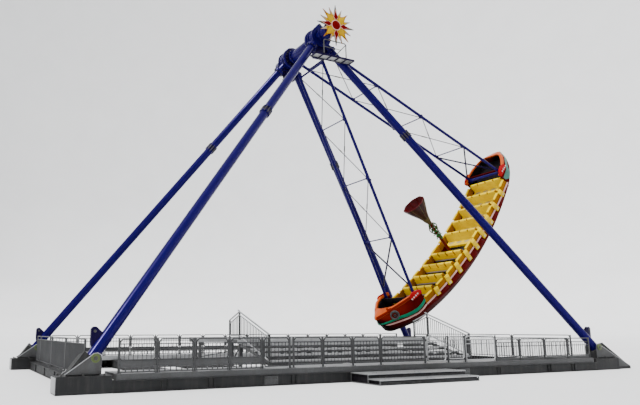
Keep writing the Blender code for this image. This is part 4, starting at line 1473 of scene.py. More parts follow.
@dataclass
class Seats:
    """The bench rows: moulded four-abreast seats with padded rolls on their backs, on a boarded floor."""

    places: int = 4
    half_width: float = 0.9
    profile: Sequence[Sequence[float]] = (
        (0.25, -0.13), (0.238, -0.08), (0.24, -0.02), (0.27, 0.0),
        (0.36, -0.012), (0.46, -0.022), (0.535, -0.01),
        (0.57, 0.04), (0.585, 0.12), (0.596, 0.2), (0.604, 0.26), (0.612, 0.3), (0.63, 0.315), (0.67, 0.315),
        (0.695, 0.3), (0.7, 0.24), (0.7, 0.16),
    )
    roll_radius: float = 0.06
    roll_centre: tuple[float, float] = (0.662, 0.335)

    def build(self) -> None:
        """Builds the rows of both halves."""
        roll = self.padded_roll()
        for facing, name in ((-1, "bow"), (1, "stern")):
            places = [seat_place(facing * index * ROW_PITCH, 10.77, facing) for index in range(ROWS)]
            shells = copies(self.shell(), places)
            legs = copies(self.underframe(), places)
            floor = self.floor(facing)
            seats = together([shells, legs, floor])
            deliver(seats, f"{name}_seats", Body.SHIP, Slot.YELLOW, (f"benches_{name}",))
            twin = roll.copy()
            twin.data = roll.data.copy()
            bpy.context.collection.objects.link(twin)
            width = 2 * self.half_width / self.places
            steps = [(place + 0.5) * width - self.half_width for place in range(self.places)]
            lifts = [Matrix.Translation((self.roll_centre[0], y, self.roll_centre[1])) for y in steps]
            pads = copies(twin, [place @ lift for place in places for lift in lifts])
            pads = deliver(
                painted(pads, PAD), f"{name}_seat_rolls", Body.SHIP, Slot.YELLOW, smooth=math.radians(60)
            )
        bpy.data.objects.remove(roll, do_unlink=True)

    def scallop(self, v: float) -> float:
        """How deep the bucket of one seat is, from 0 between seats to 1 in its middle."""
        share = (v * self.places) % 1.0
        return math.sin(math.pi * min(max(share, 0.0), 1.0)) ** 0.5 if 0.0 < share < 1.0 else 0.0

    def shell(self) -> bpy.types.Object:
        """One row's moulded seats, at its own origin."""
        last = len(self.profile) - 1

        def place(u: float, v: float) -> Vector:
            index = round(u * last)
            x, z = self.profile[index]
            depth = self.scallop(v)
            if 3 <= index <= 7:
                z -= 0.022 * depth
            if 7 <= index <= 12:
                x += 0.024 * depth - 0.012
            return Vector((x, (v * 2.0 - 1.0) * self.half_width, z))

        moulded = painted(skin(last, 40, place, 0.012), YELLOW)
        back = painted(block((0.692, -0.88, 0.03), (0.7, 0.88, 0.18), 0.003), YELLOW)
        strip = painted(block((0.69, -0.885, -0.03), (0.706, 0.885, 0.028), 0.003), LILAC)
        lip = painted(block((0.25, -0.885, -0.05), (0.69, 0.885, -0.035), 0.005), CREAM)
        sill = painted(block((0.66, -0.885, -0.09), (0.7, 0.885, -0.034), 0.006), DARK_STEEL)
        width = 2 * self.half_width / self.places
        clamps = []
        for index in range(self.places + 1):
            y = max(-0.872, min(index * width - self.half_width, 0.872))
            low, high = (0.62, y - 0.03, 0.2), (0.712, y + 0.03, self.roll_centre[1] + 0.045)
            clamps.append(block(low, high, 0.008))
        return together([moulded, back, strip, lip, sill, painted(together(clamps), AMBER)])

    def underframe(self) -> bpy.types.Object:
        """One row's steel frame, at its own origin."""
        parts = [square_bar((0.32, -0.86, -0.07), (0.32, 0.86, -0.07), 0.035)]
        parts.append(square_bar((0.63, -0.86, -0.07), (0.63, 0.86, -0.07), 0.035))
        for y in (-0.84, -0.3, 0.3, 0.84):
            parts.append(square_bar((0.32, y, -0.07), (0.32, y, -0.26), 0.03))
            parts.append(square_bar((0.63, y, -0.07), (0.63, y, -0.26), 0.03))
            parts.append(square_bar((0.32, y, -0.09), (0.63, y, -0.09), 0.025))
        return painted(together(parts), DARK_STEEL)

    def floor(self, facing: int) -> bpy.types.Object:
        """The tread-plate floor of one half.

        Args:
            facing: Minus one in the bow, one in the stern.

        Returns:
            The floor.
        """
        form = HullForm()
        parts = []
        for index in range(ROWS):
            start, end = facing * index * ROW_PITCH, facing * (index + 1) * ROW_PITCH - facing * 0.04
            corners = []
            for angle, y in ((start, -0.89), (end, -0.89), (end, 0.89), (start, 0.89)):
                corners.append(ship_point(angle, form.at(angle).chine - 0.045, y))
            push = ship_point(start, 1.0, 0) - ship_point(start, 1.012, 0)
            parts.append(plate(corners, push, 0.002))
        return painted(together(parts), TREAD_STEEL)

    def padded_roll(self) -> bpy.types.Object:
        """One padded roll, blown up by a short cloth simulation between its two sewn ends."""
        length = 2 * self.half_width / self.places - 0.06
        radius = self.roll_radius
        clear_selection()
        bpy.ops.mesh.primitive_cylinder_add(
            vertices=24, radius=radius * 0.9, depth=length, rotation=(math.pi / 2, 0, 0), end_fill_type="NGON"
        )
        piece = settle(bpy.context.object)
        soften_edges(piece, 0.012, 3)
        apply_modifier(piece, "REMESH", mode="VOXEL", voxel_size=0.009)
        self.inflate(piece, radius)
        apply_modifier(piece, "DECIMATE", ratio=0.35)
        for vertex in piece.data.vertices:
            along = abs(vertex.co.y) / (length / 2)
            pinch = 1.0 - 0.22 * max(0.0, (along - 0.86) / 0.14) ** 2
            vertex.co.x *= pinch
            vertex.co.z *= pinch
        welt = [
            (math.cos(turn) * radius * 0.86, 0.0, math.sin(turn) * radius * 0.86)
            for turn in (math.tau * step / 24 for step in range(24))
        ]
        ends = []
        for side in (-1, 1):
            seam = [(x, side * (length / 2 - 0.006), z) for x, _, z in welt]
            ends.append(pipe(seam, 0.004, closed=True, resolution=1))
        return together([piece, *ends])

    def inflate(self, piece: bpy.types.Object, radius: float) -> None:
        """Blows a closed piece up a little with cloth under pressure.

        Args:
            piece: The piece.
            radius: The radius that it may not pass.
        """
        take(piece)
        before = [vertex.co.copy() for vertex in piece.data.vertices]
        step = piece.modifiers.new("cloth", "CLOTH")
        step.settings.use_pressure = True
        step.settings.uniform_pressure_force = 4.0
        step.settings.effector_weights.gravity = 0.0
        step.settings.quality = 5
        for number in range(1, 21):
            bpy.context.scene.frame_set(number)
        bpy.ops.object.modifier_apply(modifier=step.name)
        cap = radius * 0.12
        for vertex, start in zip(piece.data.vertices, before):
            move = vertex.co - start
            if move.length > cap:
                vertex.co = start + move.normalized() * cap
        bpy.context.scene.frame_set(1)


@dataclass
class SideArms:
    """The arm rests, side panels and brackets beside the seats."""

    rest: float = 10.44
    wall_top: float = 10.7797
    bracket_top: float = 10.47
    bracket_foot: float = 11.0

    def build(self) -> None:
        """Builds both sides."""
        for side, name in ((-1, "front"), (1, "back")):
            parts = []
            for index in range(ROWS):
                for turn in (-1, 1):
                    parts += self.arm(turn * index * ROW_PITCH, turn, side)
            for index in range(1 - ROWS, ROWS):
                parts += self.bracket(index * ROW_PITCH, side)
            deliver(together(parts), f"side_arms_{name}", Body.SHIP, Slot.YELLOW, (f"side_panel_{name}",))

    def arm(self, edge: float, turn: int, side: int) -> list[bpy.types.Object]:
        """One seat's arm rest and the panel under it, painted amber as painted shade.

        Args:
            edge: The angle of its row's inner edge.
            turn: Minus one in the bow, one in the stern.
            side: Minus one on the front side, one on the back.

        Returns:
            The two pieces.
        """

        def spot(angle: float, radius: float, y: float) -> Vector:
            return ship_point(edge + turn * angle, upper(edge + turn * angle, radius), side * y)

        rest = [(0.74, self.rest + 0.05), (0.78, self.rest), (2.92, self.rest), (2.97, self.rest + 0.05)]
        corners = [spot(angle, radius, 0.945) for angle, radius in rest]
        grip = painted(plate(corners, AXIS * (side * 0.1), 0.014), YELLOW)
        outline = [
            (0.02, 10.5), (0.74, 10.5), (0.8, self.rest + 0.045), (2.9, self.rest + 0.045), (3.05, 10.5)
        ]
        reach = 3.2 if abs(edge) > 16.0 else ROW_PITCH - 0.02
        outline += [(reach, 10.5), (reach, self.wall_top), (0.02, self.wall_top)]
        panel = [spot(angle, radius, 0.945) for angle, radius in outline]
        # The panel is yellow like the rest; it is painted amber as painted shade under the arm rest.
        sheet = painted(plate(panel, AXIS * (side * 0.035), 0.006), AMBER)
        return [grip, sheet]

    def bracket(self, edge: float, side: int) -> list[bpy.types.Object]:
        """One yellow bracket down the hull's side, darkened below its top as painted shade, with its pale
        foot.

        Args:
            edge: The angle of the row edge that it stands at.
            side: Minus one on the front side, one on the back.

        Returns:
            Its pieces.
        """
        turn = math.copysign(1.0, edge)
        low, high = (-0.6, 0.6) if edge == 0 else sorted((edge - turn * 1.1, edge + turn * 0.1))
        foot = self.bracket_foot + lower(edge, 0.0) - 0.03
        top, waist = upper(edge, self.bracket_top), upper(edge, 10.74)
        middle = (low + high) / 2
        parts = Parts()
        for finish, out, outline in (
            (YELLOW, 0.05, ((low, top), (high, top), (high, waist), (low, waist))),
            # The body down the hull's side is the bracket's yellow darkened as painted shade.
            (
                SHADED_YELLOW, 0.058,
                ((low + 0.05, top + 0.1), (high - 0.05, top + 0.1), (high - 0.06, foot), (low + 0.06, foot)),
            ),
            (
                CREAM, 0.062,
                (
                    (middle - 0.3, foot - 0.11), (middle + 0.3, foot - 0.11), (middle + 0.3, foot - 0.015),
                    (middle - 0.3, foot - 0.015),
                ),
            ),
        ):
            corners = [ship_point(angle, radius, side * 1.001) for angle, radius in outline]
            parts.add(plate, finish, corners, AXIS * (side * out), 0.003 if finish is CREAM else 0.006)
        return parts


@dataclass
class Hangers:
    """The four arms on their hubs, the cross tubes at their ends, and the bracing between each pair."""

    angle: float = 21.3
    y: float = 0.86
    radius: float = 0.06
    ends: tuple[float, float] = (10.81, 10.5)
    tube_reach: tuple[float, float] = (0.9397, 0.9297)
    strut: float = 0.033
    hub_radius: float = 0.45
    hub_y: tuple[float, float] = (0.78, 0.92)
    rungs: Sequence[float] = (0.85, 3.22, 5.71, 8.2, 10.2)
    tube_radius: float = 0.08

    def build(self) -> None:
        """Builds the arms, hubs and bracing."""
        for side, name in ((-1, "front"), (1, "back")):
            self.hub(side, name)
            for end, end_name in ((-1, "left"), (1, "right")):
                self.arm(side, name, end, end_name)
        for end, end_name in ((-1, "left"), (1, "right")):
            self.bracing(end, end_name)
            self.cross_tube(end, end_name)

    def hub(self, side: int, name: str) -> None:
        """A hub ring on the axle, with a bolted cover ring and a stub for each arm.

        Args:
            side: Minus one in front, one behind.
            name: The side's name.
        """
        low, high = (side * y for y in self.hub_y)
        body = ring((0, low, AXLE_Z), (0, high, AXLE_Z), 0.254, self.hub_radius, 64)
        cover = ring((0, low - side * 0.024, AXLE_Z), (0, low - side * 0.001, AXLE_Z), 0.262, 0.4, 64)
        parts = Parts([painted(body, BLUE), painted(cover, DARK_BLUE)])
        places = around((0, low - side * 0.024, AXLE_Z), AXIS * -side, 0.35, 16)
        parts.append(copies(bolt(0.014, 0.01, BOLT_STEEL), places))
        for end in (-1, 1):
            outwards = ship_point(end * self.angle, 1, 0) - Vector((0, 0, AXLE_Z))
            start = Vector((0, side * self.y, AXLE_Z)) + outwards * (self.hub_radius - 0.02)
            parts.add(bar, BLUE, start, start + outwards * 0.16, 0.068, 20, bevel=0.006)
        deliver(together(parts), f"hub_{name}_ring", Body.SHIP, Slot.BLUE, (f"hub_{name}",))

    def arm(self, side: int, name: str, end: int, end_name: str) -> None:
        """One arm tube, with a flanged joint half way and two thin rings along it.

        Args:
            side: Minus one in front, one behind.
            name: The side's name.
            end: Minus one for the arms to the bow, one for those to the stern.
            end_name: The end's name.
        """
        start, stop = self.hub_radius + 0.03, self.ends[end > 0] - self.tube_radius - 0.002
        top, foot = (ship_point(end * self.angle, r, side * self.y) for r in (start, stop))
        along = (foot - top).normalized()
        parts = Parts([painted(bar(top, foot, self.radius, 24), BLUE)])
        middle = top + along * (stop - start) * 0.52
        parts.add(bar, BLUE, middle - along * 0.026, middle - along * 0.001, 0.058 + 0.03, 24, bevel=0.003)
        parts.add(bar, BLUE, middle + along * 0.001, middle + along * 0.026, 0.058 + 0.03, 24, bevel=0.003)
        parts.append(copies(bolt(0.009, 0.052, BOLT_STEEL), around(middle - along * 0.026, along, 0.074, 8)))
        for at in (0.9, 4.9):
            ring_at = top + along * at
            parts.add(bar, DARK_BLUE, ring_at, ring_at + along * 0.012, self.radius + 0.004, 24, bevel=0.003)
        deliver(
            together(parts), f"arm_{end_name}_{name}_tube", Body.SHIP, Slot.BLUE, (f"arm_{end_name}_{name}",)
        )

    def bracing(self, end: int, end_name: str) -> None:
        """The rungs and crossed wires between one pair of arms.

        Args:
            end: Minus one for the arms to the bow, one for those to the stern.
            end_name: The end's name.
        """
        reach = self.y - self.radius * 0.7
        parts = Parts()
        for index, radius in enumerate(self.rungs[:4]):
            ends = [ship_point(end * self.angle, radius, y) for y in (-reach, reach)]
            thick = 0.04 if index == 0 else 0.024
            parts.add(bar, BLUE, *ends, thick, 16)
            for y in (-1, 1):
                for step in (-1, 1):
                    corner = ship_point(end * self.angle, radius, y * reach)
                    inner = ship_point(end * self.angle, radius, y * (reach - 0.16))
                    along = ship_point(end * self.angle, radius + step * 0.14, y * reach)
                    side_way = (along - corner).cross(inner - corner).normalized() * 0.008
                    parts.add(
                        plate, BLUE, [corner - side_way / 2, inner - side_way / 2, along - side_way / 2],
                        side_way,
                    )
        for low, high in zip(self.rungs, self.rungs[1:]):
            last = high > 9.0
            wire = self.strut if last else 0.016
            for turn in (-1, 1):
                start = ship_point(end * self.angle, low + 0.06, -turn * (reach - 0.02))
                stop = ship_point(end * self.angle, high - 0.04, turn * (reach - 0.02))
                offset = (stop - start).cross(AXIS).normalized() * (turn * wire)
                parts.add(bar, DARK_BLUE, start + offset, stop + offset, wire, 10)
                if not last:
                    middle = start.lerp(stop, 0.42) + offset
                    along = (stop - start).normalized()
                    parts.add(
                        bar, BOLT_STEEL, middle - along * 0.11, middle + along * 0.11, 0.024, 8, bevel=0.004
                    )
        deliver(together(parts), f"bracing_{end_name}_set", Body.SHIP, Slot.BLUE, (f"bracing_{end_name}",))

    def cross_tube(self, end: int, end_name: str) -> None:
        """The cross tube that carries one end of the ship.

        Args:
            end: Minus one at the bow, one at the stern.
            end_name: The end's name.
        """
        parts = Parts()
        reach, depth = self.tube_reach[end > 0], self.ends[end > 0]
        middle = [ship_point(end * self.angle, depth, y) for y in (-reach, reach)]
        parts.add(bar, BLUE, *middle, self.tube_radius, 32)
        for side in (-1, 1):
            at = ship_point(end * self.angle, depth, side * self.y)
            parts.add(
                bar, BLUE, at - AXIS * 0.075, at - AXIS * 0.06, self.tube_radius + 0.03, 32, bevel=0.003
            )
            parts.add(
                bar, BLUE, at + AXIS * 0.052, at + AXIS * 0.067, self.tube_radius + 0.03, 32, bevel=0.003
            )
        deliver(
            together(parts), f"cross_tube_{end_name}_set", Body.SHIP, Slot.BLUE, (f"cross_tube_{end_name}",)
        )


@dataclass
class Mast:
    """The mast pole with its vine, leafy knot, handles and flower-like basket."""

    angle: float = -2.3
    foot: float = 10.99
    top: float = 9.05
    basket_angle: float = -3.1
    basket_top: float = 7.9
    outline: Sequence[tuple[float, float]] = (
        (0.0, 0.085), (0.12, 0.12), (0.3, 0.17), (0.45, 0.235),
        (0.6, 0.315), (0.8, 0.42), (0.95, 0.485), (1.0, 0.5),
    )

    def build(self) -> None:
        """Builds the basket and the vine, and paints the pole."""
        dress("mast", POLE_RED)
        self.basket()
        self.vine()

    def axis_point(self, radius: float) -> Vector:
        """A point on the mast's middle line."""
        return ship_point(self.angle, radius, 0)

    def basket(self) -> None:
        """The basket, turned from its outline, with petals, ribs and a rolled mouth."""
        start, mouth = self.axis_point(self.top), ship_point(self.basket_angle, self.basket_top, 0)
        place = look_along(start, mouth - start)
        length = (mouth - start).length
        inner = [(share, radius - 0.016) for share, radius in reversed(self.outline)]
        curve = list(self.outline) + [(1.012, 0.494)] + [
            (max(share, 0.16), max(radius, 0.08))
            for share, radius in inner
        ]

        def turned(u: float, v: float) -> Vector:
            share, radius = curve[round(v * (len(curve) - 1))]
            flute = 1.0 + 0.03 * math.cos(8 * math.tau * u) * share
            spot = Vector(
                (
                    radius * flute * math.cos(math.tau * u), radius * flute * math.sin(math.tau * u),
                    0.02 + share * (length - 0.02),
                )
            )
            return place @ spot

        cone = painted(close_up(skin(64, len(curve) - 1, turned)), BASKET_WEAVE)
        for finish in (DARK_PETAL, PETAL):
            cone.data.materials.append(finish.material())
        upwards = (mouth - start).normalized()
        for face in cone.data.polygons:
            way = face.center - start
            outwards = way - upwards * way.dot(upwards)
            if face.normal.dot(outwards) < 0.0:
                face.material_index = 2
            elif way.dot(upwards) > 0.35 * length:
                face.material_index = 1
        parts = Parts([cone])
        rim = [turned(step / 48, 9.0 / (len(curve) - 1)) for step in range(48)]
        parts.add(pipe, PETAL, rim, 0.018, closed=True)
        for step in range(8):
            share = (step + 0.5) / 8
            rib = [turned(share, index / (len(curve) - 1)) for index in range(1, 8)]
            parts.add(pipe, STEM, smooth_path(rib, 3), 0.011, resolution=2)
            inside = [turned(share, index / (len(curve) - 1)) for index in range(9, len(curve) - 1)]
            parts.add(pipe, RED, smooth_path(inside, 3), 0.012, resolution=2)
        deliver(together(parts), "basket_flower", Body.SHIP, Slot.RED, ("basket",))

    def vine(self) -> None:
        """The vine around the mast's upper half, with two open loops, a knot and leaves."""
        top, foot = self.axis_point(self.top), self.axis_point(9.86)
        place = look_along(top, foot - top)
        length = (foot - top).length
        parts = Parts()
        for start, finish, reach in ((0.0, VINE, 0.088), (2.1, STEM, 0.09), (4.2, VINE, 0.086)):
            path = []
            for step in range(40):
                share = step / 39
                turn = start + share * 9.0
                radius = reach + 0.03 * math.sin(share * math.pi) - 0.012 * share
                path.append(
                    place @ Vector((radius * math.cos(turn), radius * math.sin(turn), share * length))
                )
            parts.add(pipe, finish, path, 0.026, resolution=2)
        for turn, reach, finish in (
            (0.3, 0.3, VINE), (math.pi + 0.2, 0.27, STEM), (math.pi / 2, 0.24, VINE),
            (-math.pi / 2, 0.24, STEM),
        ):
            outwards = Vector((math.cos(turn), math.sin(turn), 0))
            knots = ((0.08, 0.02), (0.6 * reach, 0.06), (reach, 0.2), (0.8 * reach, 0.36), (0.11, 0.47))
            path = [place @ (outwards * away + Vector((0, 0, down))) for away, down in knots]
            parts.add(pipe, finish, smooth_path(path, 6), 0.024, resolution=2)
        knot = place @ Vector((0, 0, length * 0.78))
        clear_selection()
        bpy.ops.mesh.primitive_torus_add(
            major_radius=0.085, minor_radius=0.034, major_segments=24, minor_segments=10
        )
        tie = bpy.context.object
        tie.data.transform(look_along(knot, foot - top))
        parts.append(painted(tie, VINE))
        parts.append(painted(self.leaves(place, length), VINE))
        deliver(together(parts), "mast_vine", Body.SHIP, Slot.RED)

    def leaves(self, place: Matrix, length: float) -> bpy.types.Object:
        """Small pointed leaves along the vine.

        Args:
            place: The vine's place.
            length: The vine's length.

        Returns:
            The leaves.
        """

        def blade(u: float, v: float) -> Vector:
            wide = 0.04 * math.sin(math.pi * u) ** 0.8
            return Vector(
                (0.11 * u, wide * (v * 2.0 - 1.0), 0.018 * math.sin(math.pi * u) - 0.01 * abs(v * 2.0 - 1.0))
            )

        leaf = skin(6, 2, blade, 0.003)
        draws = random.Random(7)
        places = []
        for index in range(26):
            turn = index * 2.4
            down = length * (0.04 + 0.9 * index / 26)
            lean = Matrix.Rotation(draws.uniform(-0.9, 0.5), 4, "Y")
            spot = Matrix.Rotation(turn, 4, "Z") @ Matrix.Translation((0.09, 0, down)) @ lean
            places.append(place @ spot)
        return copies(leaf, places)


# The fixed plant


def dress(node: str, finish: Finish, bevel: float = 0.0) -> None:
    """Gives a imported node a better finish, and eases its edges.

    Args:
        node: The node's name.
        finish: The finish.
        bevel: The width of its eased edges.
    """
    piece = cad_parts[node]
    for place in piece.material_slots:
        place.material = finish.material()
    if bevel:
        weld = piece.modifiers.new("weld", "WELD")
        weld.merge_threshold = 0.0001
        ease = piece.modifiers.new("ease", "BEVEL")
        ease.width = bevel
        ease.segments = 2
        ease.limit_method = "ANGLE"


def corners_of_base() -> list[tuple[str, int, str, int]]:
    """The four corners of the ride, as names and signs."""
    return [
        (side_name, side, end_name, end)
        for side_name, side in (("front", -1), ("back", 1)) for end_name, end in (("left", -1), ("right", 1))
    ]


@dataclass
class Legs:
    """The four leg tubes with their flanges, bolted joints and foot lugs."""

    radius: float = 0.15
    flange_radius: float = 0.22
    flange_at: float = 0.65
    flange_thickness: float = 0.05
    joint_at: float = 5.0

    def line(self, side: int, end: int) -> tuple[Vector, Vector, Vector]:
        """A leg's apex, foot and direction down."""
        foot = Vector((end * LEG_FOOT.x, side * LEG_FOOT.y, LEG_FOOT.z))
        apex = Vector((end * LEG_APEX.x, side * LEG_APEX.y, LEG_APEX.z))
        return apex, foot, (foot - apex).normalized()

    def build(self) -> None:
        """Builds the four legs."""
        for side_name, side, end_name, end in corners_of_base():
            apex, foot, down = self.line(side, end)
            top = apex + down * (self.flange_at + 0.0003)
            parts = Parts([painted(bar(top, foot - down * 0.002, self.radius, 40), BLUE)])
            parts.add(bar, BLUE, top, top + down * self.flange_thickness, self.flange_radius, 40, bevel=0.006)
            grip = self.flange_thickness * 2
            places = around(top - down * self.flange_thickness, down, 0.187, 12)
            parts.append(copies(bolt(0.016, grip, BOLT_STEEL), places))
            joint = apex + down * self.joint_at
            for shift in (-0.14, 0.1):
                start = joint + down * shift
                parts.add(bar, BLUE, start, start + down * 0.04, self.radius + 0.036, 40, bevel=0.006)
            parts.add(bar, DARK_BLUE, joint - down * 0.1, joint + down * 0.1, self.radius + 0.012, 40)
            parts.append(copies(bolt(0.013, 0.28, BOLT_STEEL), around(joint - down * 0.14, down, 0.171, 10)))
            run = (foot - apex).length
            for at in (2.6, 7.7, 10.2, 12.9):
                seam = apex + down * at
                if at < run:
                    parts.add(bar, BLUE, seam, seam + down * 0.016, self.radius + 0.003, 40, bevel=0.003)
            parts += self.lugs(side, end)
            deliver(
                together(parts), f"leg_{side_name}_{end_name}_tube", Body.BASE, Slot.BLUE,
                (f"leg_{side_name}_{end_name}",),
            )

    def lugs(self, side: int, end: int) -> list[bpy.types.Object]:
        """Two round-topped lug plates on the outer side of a leg's foot."""
        y = side * (LEG_FOOT.y - 0.14)
        outline = [(8.66, 1.08), (8.93, 0.84), (8.99, 1.12), (8.99, 1.36)]
        for step in range(7):
            turn = math.pi * step / 6 * 0.8
            outline.append((8.9 + 0.09 * math.cos(turn), 1.42 + 0.09 * math.sin(turn)))
        outline += [(8.68, 1.34), (8.56, 1.22)]
        parts = Parts()
        for shift in (-0.045, 0.045):
            corners = [Vector((end * x, y + shift - 0.012, z)) for x, z in outline]
            parts.add(plate, DARK_BLUE, corners, AXIS * 0.024, 0.004)
        pin = [Vector((end * 8.9, y + shift, 1.4)) for shift in (-0.085, 0.085)]
        parts.add(bar, BOLT_STEEL, *pin, 0.035, 16, bevel=0.005)
        return parts


@dataclass
class Heads:
    """The two heads: bearing sleeves, leg stubs, webs with ribs, lugs and the axle's bolted ends."""

    legs: Legs = field(default_factory=Legs)
    sleeve_radius: float = 0.4
    sleeve_y: tuple[float, float] = (0.98, 1.34)
    axle_radius: float = 0.25
    axle_y: tuple[float, float] = (-2.2, 1.9)
    web_y: tuple[float, float] = (1.06, 1.26)
    web_bottom: float = 11.66

    def build(self) -> None:
        """Builds both heads and the axle."""
        for side, name in ((-1, "front"), (1, "back")):
            parts = [painted(self.sleeve(side), BLUE)]
            parts += self.stubs(side) + self.web(side) + self.lug(side)
            deliver(together(parts), f"head_{name}_set", Body.BASE, Slot.BLUE, (f"head_{name}",))
        self.axle()

    def sleeve(self, side: int) -> bpy.types.Object:
        """The sleeve around the axle, with a collar at each end."""
        low, high = (side * y for y in self.sleeve_y)
        parts = [ring((0, low, AXLE_Z), (0, high, AXLE_Z), self.axle_radius + 0.0006, self.sleeve_radius, 64)]
        for y in (low, high - side * 0.05):
            start, end = (0, y, AXLE_Z), (0, y + side * 0.05, AXLE_Z)
            parts.append(ring(start, end, self.sleeve_radius - 0.02, self.sleeve_radius + 0.03, 64))
        return together(parts)

    def stubs(self, side: int) -> list[bpy.types.Object]:
        """The ends of the two legs, up to their flanges."""
        parts = Parts()
        for end in (-1, 1):
            apex, foot, down = self.legs.line(side, end)
            stop = apex + down * self.legs.flange_at
            parts.add(bar, BLUE, apex + down * 0.2, stop, self.legs.radius, 40)
            flange = bar(
                stop - down * self.legs.flange_thickness, stop, self.legs.flange_radius, 40, bevel=0.006
            )
            parts.append(painted(flange, BLUE))
            for step in range(6):
                turn = Matrix.Rotation(math.tau * (step + 0.25) / 6, 4, "Z")
                place = look_along(stop - down * self.legs.flange_thickness, -down) @ turn
                corners = [
                    place @ Vector(spot)
                    for spot in ((0.148, -0.005, 0), (0.205, -0.005, 0), (0.148, -0.005, 0.12))
                ]
                parts.add(plate, BLUE, corners, place.to_3x3() @ Vector((0, 0.01, 0)))
        apex, foot, down = self.legs.line(side, -1)
        upwards = Vector((-down.x, 0, -down.z)).normalized()
        tip = apex + upwards * 0.55
        parts.add(bar, BLUE, apex, tip, self.legs.radius, 40)
        parts.add(bar, BLUE, tip - upwards * 0.03, tip, self.legs.radius + 0.02, 40, bevel=0.006)
        return parts

    def web(self, side: int) -> list[bpy.types.Object]:
        """The boxed web between the stubs, with ribs and bolts along its foot."""
        low, high = sorted(side * y for y in self.web_y)
        parts = Parts()
        outline = [
            (-0.22, self.web_bottom), (0.22, self.web_bottom), (0.34, 12.0), (0.36, 12.3), (-0.36, 12.3),
            (-0.34, 12.0),
        ]
        for y in (low, high - 0.02):
            corners = [Vector((x, y, z)) for x, z in outline]
            parts.add(plate, DARK_BLUE, corners, AXIS * 0.02, 0.004)
        inside = [Vector((x * 0.92, low + 0.02, z)) for x, z in outline]
        parts.add(plate, DARK_BLUE, inside, AXIS * (high - low - 0.04))
        for z in (11.8, 11.98, 12.14):
            half = 0.22 + (z - self.web_bottom) * 0.25 - 0.01
            parts.add(block, BLUE, (-half, low - 0.03, z), (half, high + 0.03, z + 0.018), 0.003)
        parts.add(
            block, BLUE, (-0.26, low - 0.05, self.web_bottom), (0.26, high + 0.05, self.web_bottom + 0.03),
            0.005,
        )
        spots = [(x, y) for x in (-0.21, -0.07, 0.07, 0.21) for y in (low - 0.028, high + 0.028)]
        places = [Matrix.Translation((x, y, self.web_bottom + 0.004)) for x, y in spots]
        parts.append(copies(bolt(0.012, 0.03, BOLT_STEEL), places))
        return parts

    def lug(self, side: int) -> list[bpy.types.Object]:
        """A lifting lug on the sleeve's top."""
        y = side * 1.16
        outline = [(-0.12, 12.84), (0.12, 12.84), (0.1, 12.98)]
        outline += [
            (0.07 * math.cos(step * math.pi / 6), 12.99 + 0.07 * math.sin(step * math.pi / 6))
            for step in range(1, 6)
        ]
        outline.append((-0.1, 12.98))
        parts = Parts()
        for shift in (-0.06, 0.03):
            corners = [Vector((x, y + shift, z)) for x, z in outline]
            parts.add(plate, BLUE, corners, AXIS * 0.03, 0.004)
        parts.add(bar, BOLT_STEEL, (0, y - 0.08, 12.99), (0, y + 0.08, 12.99), 0.028, 16, bevel=0.004)
        return parts

    def axle(self) -> None:
        """The axle tube with seams, a cable, and a bolted cover at its back end."""
        low, high = self.axle_y
        parts = Parts(
            [painted(bar((0, low, AXLE_Z), (0, high, AXLE_Z), self.axle_radius, 64, bevel=0.006), BLUE)]
        )
        for y in (-0.62, 0.62):
            parts.add(ring, BLUE, (0, y - 0.03, AXLE_Z), (0, y + 0.03, AXLE_Z), 0.249, 0.31, 64)
            parts.append(
                copies(bolt(0.012, 0.06, BOLT_STEEL), around((0, y - 0.03, AXLE_Z), AXIS, 0.285, 16))
            )
        for y in (-1.55, -1.95, 1.6):
            parts.add(ring, BLUE, (0, y - 0.02, AXLE_Z), (0, y + 0.02, AXLE_Z), 0.249, 0.29, 64)
        cover = bar((0, high - 0.02, AXLE_Z), (0, high + 0.012, AXLE_Z), 0.22, 48, bevel=0.005)
        parts.append(painted(cover, DARK_BLUE))
        parts.append(copies(bolt(0.012, 0.012, BOLT_STEEL), around((0, high, AXLE_Z), AXIS, 0.18, 12)))
        cable = [(0.1, y, AXLE_Z + 0.262) for y in (-1.9, -1.5, -0.6, 0.0, 0.6, 1.5)]
        parts.add(pipe, BLACK, cable, 0.012)
        deliver(together(parts), "axle_tube", Body.BASE, Slot.BLUE, ("axle",))


